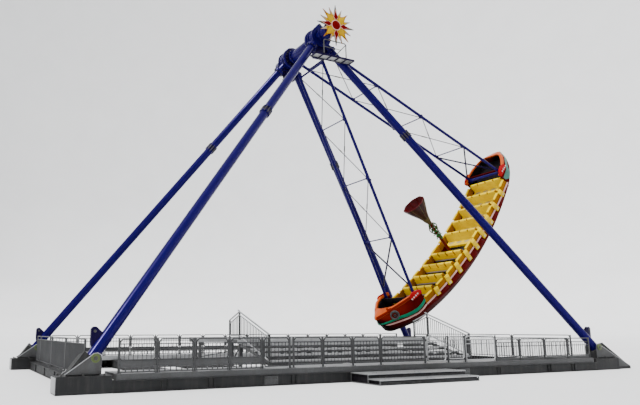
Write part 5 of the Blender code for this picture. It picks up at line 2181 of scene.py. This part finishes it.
@dataclass
class Catwalk:
    """The catwalk under the front head, with pale deck panels, dark ribs and a rail."""

    x: tuple[float, float] = (-0.72, 1.0)
    y: tuple[float, float] = (-2.02, -1.64)
    top: float = 11.4197
    depth: float = 0.06
    posts: tuple[float, float] = (-0.34, 0.64)
    rail: float = 0.58

    def build(self) -> None:
        """Builds the catwalk and its rail."""
        parts = Parts()
        low, high = self.x
        near, far = self.y
        pitch = (high - low) / 5
        for index in range(5):
            start = low + index * pitch
            panel = block(
                (start + 0.03, near + 0.03, self.top - 0.03), (start + pitch - 0.03, far - 0.02, self.top),
                0.004,
            )
            parts.append(painted(panel, PALE_STEEL))
        for index in range(6):
            x = min(max(low + index * pitch, low + 0.02), high - 0.02)
            rib = block((x - 0.02, near, self.top - self.depth), (x + 0.02, far, self.top - 0.002), 0.004)
            parts.append(painted(rib, DARK_BLUE))
        for y in (near, far - 0.03):
            edge = block((low, y, self.top - self.depth), (high, y + 0.03, self.top + 0.012), 0.004)
            parts.append(painted(edge, DARK_BLUE))
        for x in (-0.16, 0.12):
            outline = (
                (far - 0.05, self.top - self.depth), (-1.2606, 11.7), (-1.2606, 11.86),
                (far - 0.05, self.top + 0.06),
            )
            corners = [Vector((x, y, z)) for y, z in outline]
            parts.add(plate, DARK_BLUE, corners, (0.04, 0, 0), 0.004)
            parts.add(block, DARK_BLUE, (x - 0.03, -1.2725, 11.7), (x + 0.07, -1.2605, 11.86), 0.003)
        deliver(together(parts), "catwalk_deck", Body.BASE, Slot.STEEL, ("catwalk",))
        self.railing()

    def railing(self) -> None:
        """The thin rail along the catwalk's front edge."""
        y = self.y[0] + 0.03
        height = self.top + self.rail
        left, right = self.posts
        parts = []
        loop = [
            (left, y, self.top - 0.05), (left, y, height - 0.05), (left + 0.05, y, height),
            (right - 0.05, y, height),
        ]
        parts.append(pipe([*loop, (right, y, height - 0.05), (right, y, self.top - 0.05)], 0.02))
        parts.append(bar((right, y, height - 0.04), (right - 0.5, y, self.top), 0.016, 10))
        parts.append(
            bar(
                (left, y, self.top + self.rail * 0.5), (right - 0.25, y, self.top + self.rail * 0.5), 0.012, 8
            )
        )
        rail = painted(together(parts), GREY_STEEL)
        deliver(rail, "catwalk_handrail", Body.BASE, Slot.GALVANISED, ("catwalk_rail",))


@dataclass
class Sun:
    """The sun ornament: spikes behind a broad yellow star, red kites and a red boss with pale outlines."""

    y: float = -2.3
    radius: float = 0.82

    def kite(
        self, turn: float, inner: float, outer: float, half: float, waist: float, depth: tuple[float, float]
    ) -> bpy.types.Object:
        """One ray, as a kite.

        Args:
            turn: Its turn from upright, clockwise seen from the front.
            inner: Where it starts.
            outer: Its point.
            half: Half its width.
            waist: The share of its length at which it is widest.
            depth: How far its back and its front stand before the star's middle plane.

        Returns:
            The ray.
        """
        middle = inner + waist * (outer - inner)
        way, side_way = Vector((math.sin(turn), 0, math.cos(turn))), Vector(
            (math.cos(turn), 0, -math.sin(turn))
        )
        centre = Vector((0, self.y - depth[0], AXLE_Z))
        corners = [
            centre + way * inner, centre + way * middle + side_way * half, centre + way * outer,
            centre + way * middle - side_way * half,
        ]
        return plate(corners, AXIS * (depth[0] - depth[1]), 0.004)

    def build(self) -> None:
        """Builds the sun."""
        parts = Parts()
        for index in range(16):
            turn = math.tau * index / 16
            reach = self.radius * (1.0, 0.88, 0.95, 0.88)[index % 4]
            finish = GREY_STEEL if index % 4 == 0 else AMBER
            parts.append(painted(self.kite(turn, 0.1, reach, 0.085, 0.35, (-0.03, 0.0)), finish))
            parts.append(
                painted(
                    self.kite(turn, 0.3, reach * 0.99, 0.05, 0.3, (-0.012, 0.004)),
                    PALE_STEEL if index % 2 else finish,
                )
            )
            parts.append(painted(self.kite(turn, 0.1, reach * 0.8, 0.075, 0.42, (-0.004, 0.007)), GOLD))
        for index in range(4):
            turn = math.tau * (index + 0.5) / 4
            parts.append(painted(self.kite(turn, 0.1, 0.63, 0.17, 0.42, (0.004, 0.012)), AMBER))
            parts.append(painted(self.kite(turn, 0.12, 0.58, 0.14, 0.42, (0.008, 0.018)), GOLD))
        for index in range(4):
            turn = math.tau * index / 4
            parts.append(painted(self.kite(turn, 0.17, 0.62, 0.105, 0.33, (0.006, 0.02)), PINK_WHITE))
            parts.append(painted(self.kite(turn, 0.19, 0.58, 0.088, 0.34, (0.014, 0.028)), RED))
        for radius, depth, finish in ((0.205, 0.022, PINK_WHITE), (0.17, 0.038, RED)):
            disc = bar((0, self.y + 0.02, AXLE_Z), (0, self.y - depth, AXLE_Z), radius, 40, bevel=0.008)
            parts.append(painted(disc, finish))
        boss = bar((0, self.y + 0.01, AXLE_Z), (0, -2.2003, AXLE_Z), 0.2, 32, bevel=0.006)
        parts.append(painted(boss, BLUE))
        for index in range(4):
            turn = math.tau * (index + 0.5) / 4
            foot = Vector((0.19 * math.sin(turn), -2.22, AXLE_Z + 0.19 * math.cos(turn)))
            tip = Vector((0.42 * math.sin(turn), self.y + 0.03, AXLE_Z + 0.42 * math.cos(turn)))
            parts.add(square_bar, DARK_STEEL, foot, tip, 0.025)
        deliver(together(parts), "sun_star", Body.BASE, Slot.YELLOW, ("sun",))


@dataclass
class Feet:
    """The feet under the legs: end plates, bright-edged cheeks, pins and anchor bolts."""

    top: float = 0.4
    shoe_half: float = 0.2

    def build(self) -> None:
        """Dresses the four feet."""
        for side_name, side, end_name, end in corners_of_base():
            node = f"foot_{side_name}_{end_name}"
            dress(node, DARK_STEEL, 0.008)
            parts = Parts()
            reach = 9.6 if end < 0 else 10.6
            outline = [
                (reach, 0.43), (9.04, 0.83), (8.97, 0.885), (8.88, 0.9), (8.81, 0.86), (8.78, 0.78),
                (8.78, 0.43),
            ]
            if end > 0:
                outline = [(reach, 0.09), (9.06, 0.83), *outline[2:], (9.72, 0.43), (9.8, 0.09)]
            for y in (-1, 1):
                at = side * LEG_FOOT.y + y * self.shoe_half
                corners = [Vector((end * x, at, z)) for x, z in outline]
                parts.add(plate, GREY_STEEL, corners, AXIS * (y * 0.022), 0.005)
                ring_at = Vector((end * 8.93, at + y * 0.022, 0.79))
                parts.add(ring, BRASSY, ring_at, ring_at + AXIS * (y * 0.03), 0.045, 0.105, 32)
                parts.add(
                    bar, BOLT_STEEL, ring_at - AXIS * (y * 0.01), ring_at + AXIS * (y * 0.045), 0.05, 20,
                    bevel=0.005,
                )
                rim = [Vector((end * x, at + y * 0.011, z + 0.004)) for x, z in outline[:5]]
                parts.add(pipe, PALE_STEEL, rim, 0.013, resolution=2)
            x = end * 9.8
            ys = sorted((side * 4.64, side * 5.28))
            parts.add(
                block, PALE_STEEL, (min(x, x + end * 0.012), ys[0], 0.02),
                (max(x, x + end * 0.012), ys[1], 0.38), 0.004,
            )
            spots = [(end * sx, side * sy) for sx in (9.68, 9.2, 8.72) for sy in (4.7, 5.23)]
            places = [Matrix.Translation((sx, sy, self.top - 0.002)) for sx, sy in spots]
            parts.append(copies(bolt(0.022, 0.02, BOLT_STEEL), places))
            deliver(together(parts), f"{node}_fittings", Body.BASE, Slot.STEEL)


@dataclass
class BaseFrame:
    """The base beams, with flanges, splice plates, stiffeners and bolts."""

    beam_top: float = 0.28
    cross_x: Sequence[float] = (-6.1, -3.75, 0.0, 3.75, 6.1)

    def build(self) -> None:
        """Dresses the beams."""
        for node in ("front_beam", "back_beam", "left_beam", "right_beam"):
            dress(node, DARK_STEEL, 0.006)
        for index in range(5):
            dress(f"cross_beam_{index + 1}", DARK_STEEL, 0.006)
        parts = Parts()
        for side in (-1, 1):
            face = side * 5.3
            for z in (0.0, self.beam_top - 0.022):
                ys = sorted((face - side * 0.01, face + side * 0.035))
                parts.add(block, DARK_STEEL, (-8.54, ys[0], z), (8.54, ys[1], z + 0.022), 0.004)
            for x in (-7.3, *self.cross_x, 7.3):
                for shift in (-0.07, 0.07):
                    ys = sorted((face - side * 0.005, face + side * 0.032))
                    rib = block(
                        (x + shift - 0.006, ys[0], 0.02), (x + shift + 0.006, ys[1], self.beam_top - 0.02),
                        0.002,
                    )
                    parts.append(painted(rib, DARK_STEEL))
            for x in (-4.43, 2.3):
                ys = sorted((face - side * 0.005, face + side * 0.02))
                parts.add(
                    block, GREY_STEEL, (x - 0.2, ys[0], 0.035), (x + 0.2, ys[1], self.beam_top - 0.035), 0.004
                )
                spots = [(x + sx, sz) for sx in (-0.15, -0.05, 0.05, 0.15) for sz in (0.09, 0.19)]
                places = [look_along((sx, face + side * 0.0195, sz), (0, side, 0)) for sx, sz in spots]
                parts.append(copies(bolt(0.014, 0.004, BOLT_STEEL), places))
        for side in (-1, 1):
            face = side * 9.15
            for z in (0.0, self.beam_top - 0.022):
                xs = sorted((face - side * 0.01, face + side * 0.03))
                parts.add(block, DARK_STEEL, (xs[0], -4.6, z), (xs[1], 4.6, z + 0.022), 0.004)
            for y in (-3.0, -1.0, 1.0, 3.0):
                xs = sorted((face - side * 0.005, face + side * 0.028))
                parts.add(
                    block, DARK_STEEL, (xs[0], y - 0.006, 0.02), (xs[1], y + 0.006, self.beam_top - 0.02),
                    0.002,
                )
        for x in self.cross_x:
            for z in (self.beam_top - 0.015, 0.004):
                for shift in (-0.12, 0.12):
                    low = min(x + shift, x + shift * 1.25)
                    edge = block((low, -4.98, z), (low + abs(shift) * 0.25, 4.98, z + 0.012), 0.003)
                    parts.append(painted(edge, DARK_STEEL))
        deliver(together(parts), "beam_fittings", Body.BASE, Slot.STEEL)


@dataclass
class Decks:
    """The tread plates on the walkways and platforms, with their edge angles and legs."""

    walk_top: float = 0.42
    walk_y: tuple[float, float] = (4.1, 5.28)
    walk_x: float = 8.45
    platform_top: float = 1.12
    platform_x: tuple[float, float] = (-3.9, 3.9)
    platform_y: tuple[float, float] = (1.3, 2.1)

    def build(self) -> None:
        """Dresses the decks."""
        for side, name in ((-1, "front"), (1, "back")):
            dress(f"{name}_walkway", GREY_STEEL, 0.004)
            dress(f"{name}_platform", GREY_STEEL, 0.004)
            parts = []
            ys = sorted((side * self.walk_y[0], side * (self.walk_y[1] - 0.02)))
            parts += self.sheets(-self.walk_x, self.walk_x, ys[0], ys[1], self.walk_top, 14)
            ys = sorted((side * (self.platform_y[0] + 0.02), side * (self.platform_y[1] - 0.02)))
            parts += self.sheets(*self.platform_x, ys[0], ys[1], self.platform_top, 7)
            parts += self.edges(side)
            deliver(together(parts), f"{name}_deck_plates", Body.BASE, Slot.STEEL)

    def sheets(
        self, start: float, end: float, low: float, high: float, top: float, count: int
    ) -> list[bpy.types.Object]:
        """Tread plates in a row, with a seam between each two and screws at their corners.

        Args:
            start: Where the row starts along X.
            end: Where it ends.
            low: Its lower Y.
            high: Its higher Y.
            top: The height of what carries it.
            count: The number of plates.

        Returns:
            The plates and their screws.
        """
        pitch = (end - start) / count
        plates, spots = [], []
        for index in range(count):
            x = start + index * pitch
            plates.append(
                block((x + 0.004, low, top + 0.0005), (x + pitch - 0.004, high, top + 0.005), 0.001)
            )
            spots += [(x + sx, y) for sx in (0.04, pitch - 0.04) for y in (low + 0.04, high - 0.04)]
        head = bar((0, 0, 0), (0, 0, 0.004), 0.012, 10)
        heads = copies(head, [Matrix.Translation((x, y, top + 0.004)) for x, y in spots])
        return [painted(together(plates), TREAD_STEEL), painted(heads, BOLT_STEEL)]

    def edges(self, side: int) -> list[bpy.types.Object]:
        """The kick strips and braces of one side's platform, and the walkway's edge angle."""
        parts = Parts()
        for y in self.platform_y:
            ys = sorted((side * y, side * (y + (0.012 if y > 2 else -0.012))))
            strip = block(
                (self.platform_x[0], ys[0], 0.98), (self.platform_x[1], ys[1], self.platform_top + 0.012),
                0.003,
            )
            parts.append(painted(strip, PALE_STEEL))
        for x in (-3.75, 0.0, 3.75):
            low, high = (side * (self.platform_y[0] + 0.08), side * (self.platform_y[1] - 0.08))
            parts.add(square_bar, GREY_STEEL, (x, low, 0.36), (x, high, 0.96), 0.03)
            parts.add(
                block, GREY_STEEL, (x - 0.09, min(low, high) - 0.08, 0.281),
                (x + 0.09, min(low, high) + 0.08, 0.295), 0.003,
            )
            parts.add(
                block, GREY_STEEL, (x - 0.09, max(low, high) - 0.08, 0.281),
                (x + 0.09, max(low, high) + 0.08, 0.295), 0.003,
            )
        for low, high in ((-3.7, -0.15), (0.15, 3.7)):
            y = side * (self.platform_y[1] - 0.08)
            parts.add(square_bar, GREY_STEEL, (low, y, 0.4), (high, y, 0.96), 0.028)
        inner = side * (self.walk_y[0] - 0.006)
        ys = sorted((inner, inner + side * 0.012))
        parts.add(
            block, PALE_STEEL, (-self.walk_x, ys[0], 0.3), (self.walk_x, ys[1], self.walk_top + 0.006), 0.003
        )
        return parts


@dataclass
class Stairs:
    """The wide steps: treads with nosings on stringers, and a barred, double-railed panel at each end."""

    x: float = 3.82
    foot_y: float = -4.1
    head_y: float = -2.1
    walk_top: float = 0.42
    platform_top: float = 1.12
    handrail: float = 0.86
    rail_return: float = 0.75
    steps: int = 4

    def level(self, y: float) -> float:
        """The height of the stair's slope at a place along it."""
        share = min(max((y - self.foot_y) / (self.head_y - self.foot_y), 0.0), 1.0)
        return self.walk_top + share * (self.platform_top - self.walk_top)

    def rail_height(self, y: float) -> float:
        """The height of the top rail, which falls again past the platform's edge."""
        past = max(y - self.head_y, 0.0)
        return self.level(y) + self.handrail * (1.0 - 0.4 * past)

    def build(self) -> None:
        """Builds the steps and their end panels."""
        self.flight()
        self.panel("stair_panel_left", -self.x)
        self.panel("stair_panel_right", self.x)

    def flight(self) -> None:
        """The treads in four lengths, with nosings, on five stringers."""
        run, rise = (self.head_y - self.foot_y) / self.steps, (
            self.platform_top - self.walk_top
        ) / (self.steps + 1)
        low, high = -self.x + 0.03, self.x - 0.03
        pitch = (high - low) / 4
        parts = Parts()
        for index in range(self.steps):
            y, z = self.foot_y + index * run, self.walk_top + (index + 1) * rise
            back = y + run + 0.02 - 0.021 * (index == self.steps - 1)
            for place in range(4):
                x = low + place * pitch
                parts.add(block, TREAD_STEEL, (x + 0.003, y, z - 0.04), (x + pitch - 0.003, back, z), 0.004)
                nosing = block(
                    (x + 0.003, y - 0.004, z - 0.045), (x + pitch - 0.003, y + 0.03, z + 0.003), 0.003
                )
                parts.append(painted(nosing, PALE_STEEL))
            riser = block((low, y + 0.008, z - rise + 0.03), (high, y + 0.012, z - 0.06), 0.001)
            parts.append(painted(riser, GREY_STEEL))
        start, end = (self.foot_y + 0.01, self.walk_top + 0.02), (
            self.head_y - 0.01, self.platform_top - 0.16
        )
        for place in range(5):
            x = min(max(low + place * pitch - 0.005, low), high - 0.01)
            corners = [
                Vector((x, y, z))
                for y, z in (
                    start, (start[0], start[1] + 0.08), (end[0], end[1] + 0.04), (end[0], end[1] - 0.06)
                )
            ]
            parts.add(plate, GREY_STEEL, corners, (0.01, 0, 0), 0.002)
        deliver(together(parts), "stairs_flight", Body.BASE, Slot.STEEL, ("stairs",))

    def panel(self, node: str, x: float) -> None:
        """One barred side panel.

        Args:
            node: The node that it stands for.
            x: Its place along X.
        """
        end = self.head_y + self.rail_return
        path = [self.foot_y + 0.0, self.head_y - 0.03, self.head_y + 0.03, end]
        parts = Parts()
        top = [Vector((x, y, self.rail_height(y))) for y in path]
        second = [Vector((x, y, self.rail_height(y) - 0.1)) for y in path]
        bottom = [Vector((x, y, self.level(y) + 0.12)) for y in path]
        parts.add(pipe, PALE_STEEL, smooth_path(top, 4), 0.024)
        parts.add(pipe, PALE_STEEL, second, 0.018)
        parts.add(pipe, PALE_STEEL, bottom, 0.022)
        for y in (self.foot_y + 0.02, self.head_y, end - 0.02):
            foot = self.level(y) + (0.0 if y > self.head_y - 0.1 else 0.002)
            parts.add(square_bar, FENCE_STEEL, (x, y, foot + 0.001), (x, y, self.rail_height(y)), 0.045)
            parts.add(
                block, GREY_STEEL, (x - 0.045, y - 0.02, foot + 0.001), (x + 0.045, y + 0.035, foot + 0.012),
                0.002,
            )
        bars = []
        count = round((end - self.foot_y) / 0.1)
        for index in range(1, count):
            y = self.foot_y + (end - self.foot_y) * index / count
            bars.append(bar((x, y, self.level(y) + 0.12), (x, y, self.rail_height(y) - 0.1), 0.011, 8))
        parts.append(painted(together(bars), FENCE_STEEL))
        deliver(together(parts), f"{node}_bars", Body.BASE, Slot.GALVANISED, (node,))


@dataclass
class FencePanel:
    """One framed fence panel, along X from 0, standing at Z 0, with its middle plane at Y 0."""

    length: float
    height: float
    bottom: float = 0.3
    pitch: float = 0.11
    double_rail: bool = True
    kick: float = 0.0
    slots: float = 0.0
    pale: bool = False

    def build(self) -> list[bpy.types.Object]:
        """Builds the panel's frame, rails, bars and kick plates."""
        frame_finish = PALE_STEEL if self.pale else FENCE_STEEL
        start, end = 0.045, self.length - 0.045
        loop = [
            (start, 0, self.bottom + 0.05), (start, 0, self.height - 0.07), (start + 0.06, 0, self.height)
        ]
        loop += [(end - 0.06, 0, self.height), (end, 0, self.height - 0.07), (end, 0, self.bottom + 0.05)]
        loop += [(end - 0.04, 0, self.bottom), (start + 0.04, 0, self.bottom)]
        parts = Parts([painted(pipe(loop, 0.019, closed=True), frame_finish)])
        rail = self.height - 0.11
        rails = [rail, rail - 0.12] if self.double_rail else [rail]
        for z in rails:
            parts.add(bar, frame_finish, (start, 0, z), (end, 0, z), 0.012, 10)
        count = max(round((end - start) / self.pitch), 2)
        spots = [start + (end - start) * index / count for index in range(1, count)]
        upright = bar((0, 0, self.bottom), (0, 0, rail), 0.0085, 8)
        parts.append(painted(copies(upright, [Matrix.Translation((x, 0, 0)) for x in spots]), FENCE_STEEL))
        if self.kick:
            low = self.bottom - self.kick
            parts.add(
                block, GREY_STEEL, (0.03, -0.006, low), (self.length - 0.03, 0.006, self.bottom - 0.01), 0.002
            )
        if self.slots:
            low = self.bottom - self.kick - self.slots
            for z in (low, low + self.slots - 0.035):
                parts.add(block, GREY_STEEL, (0.03, -0.005, z), (self.length - 0.03, 0.005, z + 0.03), 0.002)
            tooth = block((-0.015, -0.004, low + 0.01), (0.015, 0.004, low + self.slots - 0.01))
            steps = round((self.length - 0.1) / 0.14)
            teeth = [
                Matrix.Translation((0.05 + (self.length - 0.1) * index / steps, 0, 0))
                for index in range(steps + 1)
            ]
            parts.append(painted(copies(tooth, teeth), GREY_STEEL))
        return parts


def fence_post(height: float) -> list[bpy.types.Object]:
    """A square post with a cap, a foot plate and four bolts, at its own origin.

    Args:
        height: Its height.

    Returns:
        Its pieces.
    """
    parts = Parts([painted(block((-0.02, -0.02, 0.001), (0.02, 0.02, height), 0.004), FENCE_STEEL)])
    parts.add(block, GREY_STEEL, (-0.024, -0.024, height - 0.004), (0.024, 0.024, height + 0.01), 0.004)
    parts.add(block, GREY_STEEL, (-0.055, -0.055, 0.001), (0.055, 0.055, 0.011), 0.002)
    places = [Matrix.Translation((x, y, 0.01)) for x in (-0.042, 0.042) for y in (-0.042, 0.042)]
    parts.append(copies(bolt(0.008, 0.003, BOLT_STEEL), places))
    return parts


@dataclass
class Fences:
    """The fences around the ride, made of framed panels between posts."""

    y: float = 5.2
    walk_top: float = 0.42
    beam_top: float = 0.28
    top: float = 1.21
    low_top: float = 1.11
    side_x: float = 8.95
    side_posts: Sequence[float] = (-4.1, -1.4, 1.1, 3.6, 4.5)
    back_x: float = 8.43

    def build(self) -> None:
        """Builds every fence."""
        self.row(
            "front_fence_left", (-8.42, -7.46, -6.5, -5.56, -4.62, -3.78), self.top, slots=True,
            open_from=-4.7,
        )
        self.row("front_fence_middle", (-3.72, -2.77, -1.77, -0.8, 0.87), self.top, bottom=0.1)
        steps = (1.74, 2.46, 3.79, 4.88, 6.07, 7.23, 8.38)
        self.row("front_fence_right", steps, self.low_top, raised=(0, 1), bottom=0.12)
        back = [-self.back_x + index * self.back_x * 2 / 16 for index in range(17)]
        self.row("back_fence", back, self.top, y=self.y, slots=True)
        for side, name in ((-1, "left_fence"), (1, "right_fence")):
            self.side(side, name)

    def row(
        self,
        name: str,
        posts: Sequence[float],
        top: float,
        y: float | None = None,
        raised: Sequence[int] = (),
        bottom: float = 0.31,
        slots: bool = False,
        open_from: float = 99.0,
    ) -> None:
        """A row of panels along X.

        Args:
            name: The node that the row stands for.
            posts: The places of its posts.
            top: The height of its top.
            y: Its place across, or the front fence's.
            raised: The panels that are as high as the front fence.
            bottom: The height of the panels' lower rail above the deck.
            slots: Whether a kick plate and a slotted plate run below the panels.
            open_from: Where the panels reach down to the deck instead.
        """
        y = -self.y if y is None else y
        parts = []
        for index, (start, end) in enumerate(zip(posts, posts[1:])):
            height = (self.top if index in raised else top) - self.walk_top
            closed = slots and start < open_from
            kick, holes = (0.15, 0.14) if closed else (0.0, 0.0)
            foot = 0.07 if (index in raised and index == 1) or (slots and not closed) else bottom
            made = FencePanel(end - start, height, foot, kick=kick, slots=holes, pale=index in raised).build()
            parts += self.moved(made, Matrix.Translation((start, y, self.walk_top)))
            if not slots and index not in raised:
                sill = block(
                    (start + 0.03, y - 0.006, self.walk_top + 0.005),
                    (end - 0.03, y + 0.006, self.walk_top + bottom - 0.02), 0.002,
                )
                if bottom > 0.11:
                    parts.append(painted(sill, GREY_STEEL))
                else:
                    bpy.data.objects.remove(sill, do_unlink=True)
        for index, x in enumerate(posts):
            height = self.top if index in raised or index - 1 in raised else top
            at = min(max(x, posts[0] + 0.026), posts[-1] - 0.026)
            parts += self.moved(
                fence_post(height - self.walk_top + 0.01), Matrix.Translation((at, y, self.walk_top))
            )
        deliver(together(parts), f"{name}_bars", Body.BASE, Slot.GALVANISED, (name,))

    def moved(self, pieces: Sequence[bpy.types.Object], place: Matrix) -> list[bpy.types.Object]:
        """Moves pieces' meshes to a place."""
        for piece in pieces:
            piece.data.transform(place)
        return list(pieces)

    def side(self, side: int, name: str) -> None:
        """A side fence along Y, of long barred panels on the side beam.

        Args:
            side: Minus one on the left, one on the right.
            name: The node that it stands for.
        """
        turn = Matrix.Rotation(math.pi / 2, 4, "Z")
        parts = []
        height = 1.2 - self.beam_top
        for start, end in zip(self.side_posts, self.side_posts[1:]):
            made = FencePanel(end - start, height, 0.06, pitch=0.06, double_rail=False).build()
            parts += self.moved(made, Matrix.Translation((side * self.side_x, start, self.beam_top)) @ turn)
        for y in self.side_posts:
            at = min(max(y, self.side_posts[0] + 0.026), self.side_posts[-1] - 0.026)
            parts += self.moved(
                fence_post(height), Matrix.Translation((side * self.side_x, at, self.beam_top))
            )
        deliver(together(parts), f"{name}_bars", Body.BASE, Slot.GALVANISED, (name,))


@dataclass
class Gate:
    """The entry gate: a framed panel on a hinge tube, with a latch plate."""

    hinge_x: float = 0.89
    end_x: float = 1.72
    y: float = -5.2
    walk_top: float = 0.42
    top: float = 1.21

    def build(self) -> None:
        """Builds the gate."""
        width, height = self.end_x - self.hinge_x, self.top - self.walk_top
        panel = FencePanel(width - 0.03, height - 0.012, 0.07, double_rail=False, pale=True).build()
        place = Matrix.Translation((self.hinge_x + 0.01, self.y, self.walk_top))
        for piece in panel:
            piece.data.transform(place)
        parts = panel
        low, high = self.walk_top + 0.045, self.top + 0.015
        parts.append(
            painted(
                bar((self.hinge_x, self.y, low), (self.hinge_x, self.y, high), 0.0185, 20, bevel=0.003),
                PALE_STEEL,
            )
        )
        for z in (low + 0.12, high - 0.16):
            sleeve = bar((self.hinge_x, self.y, z), (self.hinge_x, self.y, z + 0.07), 0.0194, 20, bevel=0.002)
            parts.append(painted(sleeve, BOLT_STEEL))
            leaf = block(
                (self.hinge_x, self.y - 0.006, z + 0.01), (self.hinge_x + 0.06, self.y + 0.006, z + 0.06),
                0.002,
            )
            parts.append(painted(leaf, BOLT_STEEL))
        latch = block(
            (self.end_x - 0.1, self.y - 0.024, 0.86), (self.end_x - 0.035, self.y + 0.024, 0.98), 0.006
        )
        parts.append(painted(latch, PALE_STEEL))
        parts.append(
            painted(
                bar(
                    (self.end_x - 0.06, self.y - 0.05, 0.92), (self.end_x - 0.06, self.y + 0.05, 0.92), 0.012,
                    12, bevel=0.003,
                ),
                BOLT_STEEL,
            )
        )
        deliver(together(parts), "gate_frame", Body.GATE, Slot.GALVANISED, ("gate",))


@dataclass
class EntrySteps:
    """The two wide entry steps: tread plates with bright nosings on an open frame, over dark fascias, with a
    near-black block inside each frame as painted shade.
    """

    x: tuple[float, float] = (-1.95, 1.53)
    edges: tuple[float, float, float] = (-6.6, -6.1, -5.3003)
    tops: tuple[float, float] = (0.145, 0.265)

    def build(self) -> None:
        """Builds both steps."""
        low, high = self.x
        pitch = (high - low) / 4
        parts = Parts()
        for front, back, z in zip(self.edges, self.edges[1:], self.tops):
            back += 0.02 if z < 0.2 else 0.0
            for index in range(4):
                x = low + index * pitch + 0.003
                parts.add(
                    block, TREAD_STEEL, (x, front + 0.012, z - 0.03), (x + pitch - 0.006, back, z), 0.003
                )
            parts.add(block, PALE_STEEL, (low, front, z - 0.034), (high, front + 0.014, z + 0.002), 0.003)
            # A near-black block fills each step's frame as painted shade.
            parts.add(
                block, BLACK, (low + 0.05, front + 0.03, 0.0), (high - 0.05, back - 0.04, z - 0.032), 0.004
            )
            parts.add(
                block, DARK_STEEL, (low + 0.01, front + 0.014, 0.0), (high - 0.01, front + 0.034, z - 0.06),
                0.003,
            )
            for x in (low, high - 0.03):
                parts.add(block, GREY_STEEL, (x, front + 0.004, 0.0), (x + 0.03, back, 0.025), 0.003)
                for y in (front + 0.004, back - 0.034):
                    parts.add(block, GREY_STEEL, (x, y, 0.02), (x + 0.03, y + 0.03, z - 0.03), 0.003)
        for x in (low + 0.3, (low + high) / 2, high - 0.3):
            places = [
                Matrix.Translation((x + shift, y, z))
                for shift in (-0.06, 0.06) for y, z in ((-6.5, 0.144), (-6.0, 0.264))
            ]
            parts.append(copies(bolt(0.01, 0.004, BOLT_STEEL), places))
        deliver(together(parts), "entry_step_plates", Body.BASE, Slot.STEEL, ("entry_steps",))


@dataclass
class Studio:
    """The pale floor, the soft lights, and the camera at the photo's angle."""

    eye: tuple[float, float, float] = (-12.091, -19.592, 1.431)
    yaw: float = 26.379
    pitch: float = 10.217
    roll: float = -0.106
    focal_pixels: float = 609.35
    middle_pixels: tuple[float, float] = (250.9, 219.6)
    frame_pixels: tuple[float, float] = (640.0, 405.0)

    def build(self) -> None:
        """Sets up the floor, lights and camera."""
        self.floor()
        self.lights()
        self.camera()

    def floor(self) -> None:
        """A wide pale floor that rises far away."""
        clear_selection()
        bpy.ops.mesh.primitive_circle_add(vertices=96, radius=60.0, fill_type="NGON", location=(0, 0, -0.004))
        floor = settle(bpy.context.object)
        take(floor)
        bpy.ops.object.mode_set(mode="EDIT")
        bpy.ops.mesh.select_mode(type="EDGE")
        bpy.ops.mesh.select_all(action="SELECT")
        bpy.ops.mesh.region_to_loop()
        for reach, lift in ((1.6, 0.0), (1.2, 1.0), (1.1, 4.0), (1.06, 9.0), (1.04, 20.0), (1.02, 80.0)):
            bpy.ops.mesh.extrude_edges_move(TRANSFORM_OT_translate={"value": (0, 0, lift)})
            bpy.ops.transform.resize(value=(reach, reach, 1.0), center_override=(0, 0, 0))
        bpy.ops.mesh.select_mode(type="VERT")
        bpy.ops.object.mode_set(mode="OBJECT")
        bpy.ops.object.shade_smooth()
        floor.name = "studio_floor"
        nodes = Nodes("studio_floor_paint")
        cloud = nodes.spread(nodes.noise(0.15, 3.0), 0.3, 0.7)
        colour = nodes.blend(cloud, rgba((0.83, 0.83, 0.83)), rgba((0.86, 0.86, 0.86)))
        floor.data.materials.append(nodes.surface(colour, 0.9))

    def lights(self) -> None:
        """A soft key from high on the left, and an even pale surround."""
        light = bpy.data.lights.new("key", "SUN")
        light.energy = 4.6
        light.angle = math.radians(10.0)
        lamp = bpy.data.objects.new("key", light)
        lamp.rotation_euler = Vector((0.6, 0.12, -1.0)).to_track_quat("-Z", "Y").to_euler()
        bpy.context.collection.objects.link(lamp)
        world = bpy.data.worlds.new("studio_surround")
        world.use_nodes = True
        surround = world.node_tree.nodes["Background"]
        surround.inputs["Color"].default_value = (0.95, 0.97, 1.0, 1.0)
        surround.inputs["Strength"].default_value = 1.0
        bpy.context.scene.world = world

    def camera(self) -> None:
        """The camera, with the photo's place, turn, lens and framing."""
        wide, high = self.frame_pixels
        lens = bpy.data.cameras.new("camera")
        lens.sensor_fit = "HORIZONTAL"
        lens.sensor_width = 36.0
        lens.lens = self.focal_pixels / wide * lens.sensor_width
        lens.shift_x = (wide / 2 - self.middle_pixels[0]) / wide
        lens.shift_y = (self.middle_pixels[1] - high / 2) / wide
        lens.clip_end = 500.0
        camera = bpy.data.objects.new("camera", lens)
        turn = Matrix.Rotation(math.radians(-self.yaw), 4, "Z") @ Matrix.Rotation(
            math.radians(90 + self.pitch), 4, "X"
        )
        camera.matrix_world = Matrix.Translation(self.eye) @ turn @ Matrix.Rotation(
            math.radians(self.roll), 4, "Z"
        )
        bpy.context.collection.objects.link(camera)
        bpy.context.scene.camera = camera


def main() -> None:
    """Builds the ride piece by piece."""
    logging.basicConfig(level=logging.INFO, format="%(message)s")
    Studio().build()
    for assembly in (Legs(), Heads(), Catwalk(), Sun(), Hull(), Seats(), SideArms(), Hangers(), Mast()):
        assembly.build()
    for assembly in (BaseFrame(), Feet(), Decks(), Stairs(), Fences(), Gate(), EntrySteps()):
        assembly.build()
    clear_selection()


if __name__ == "__main__":
    main()
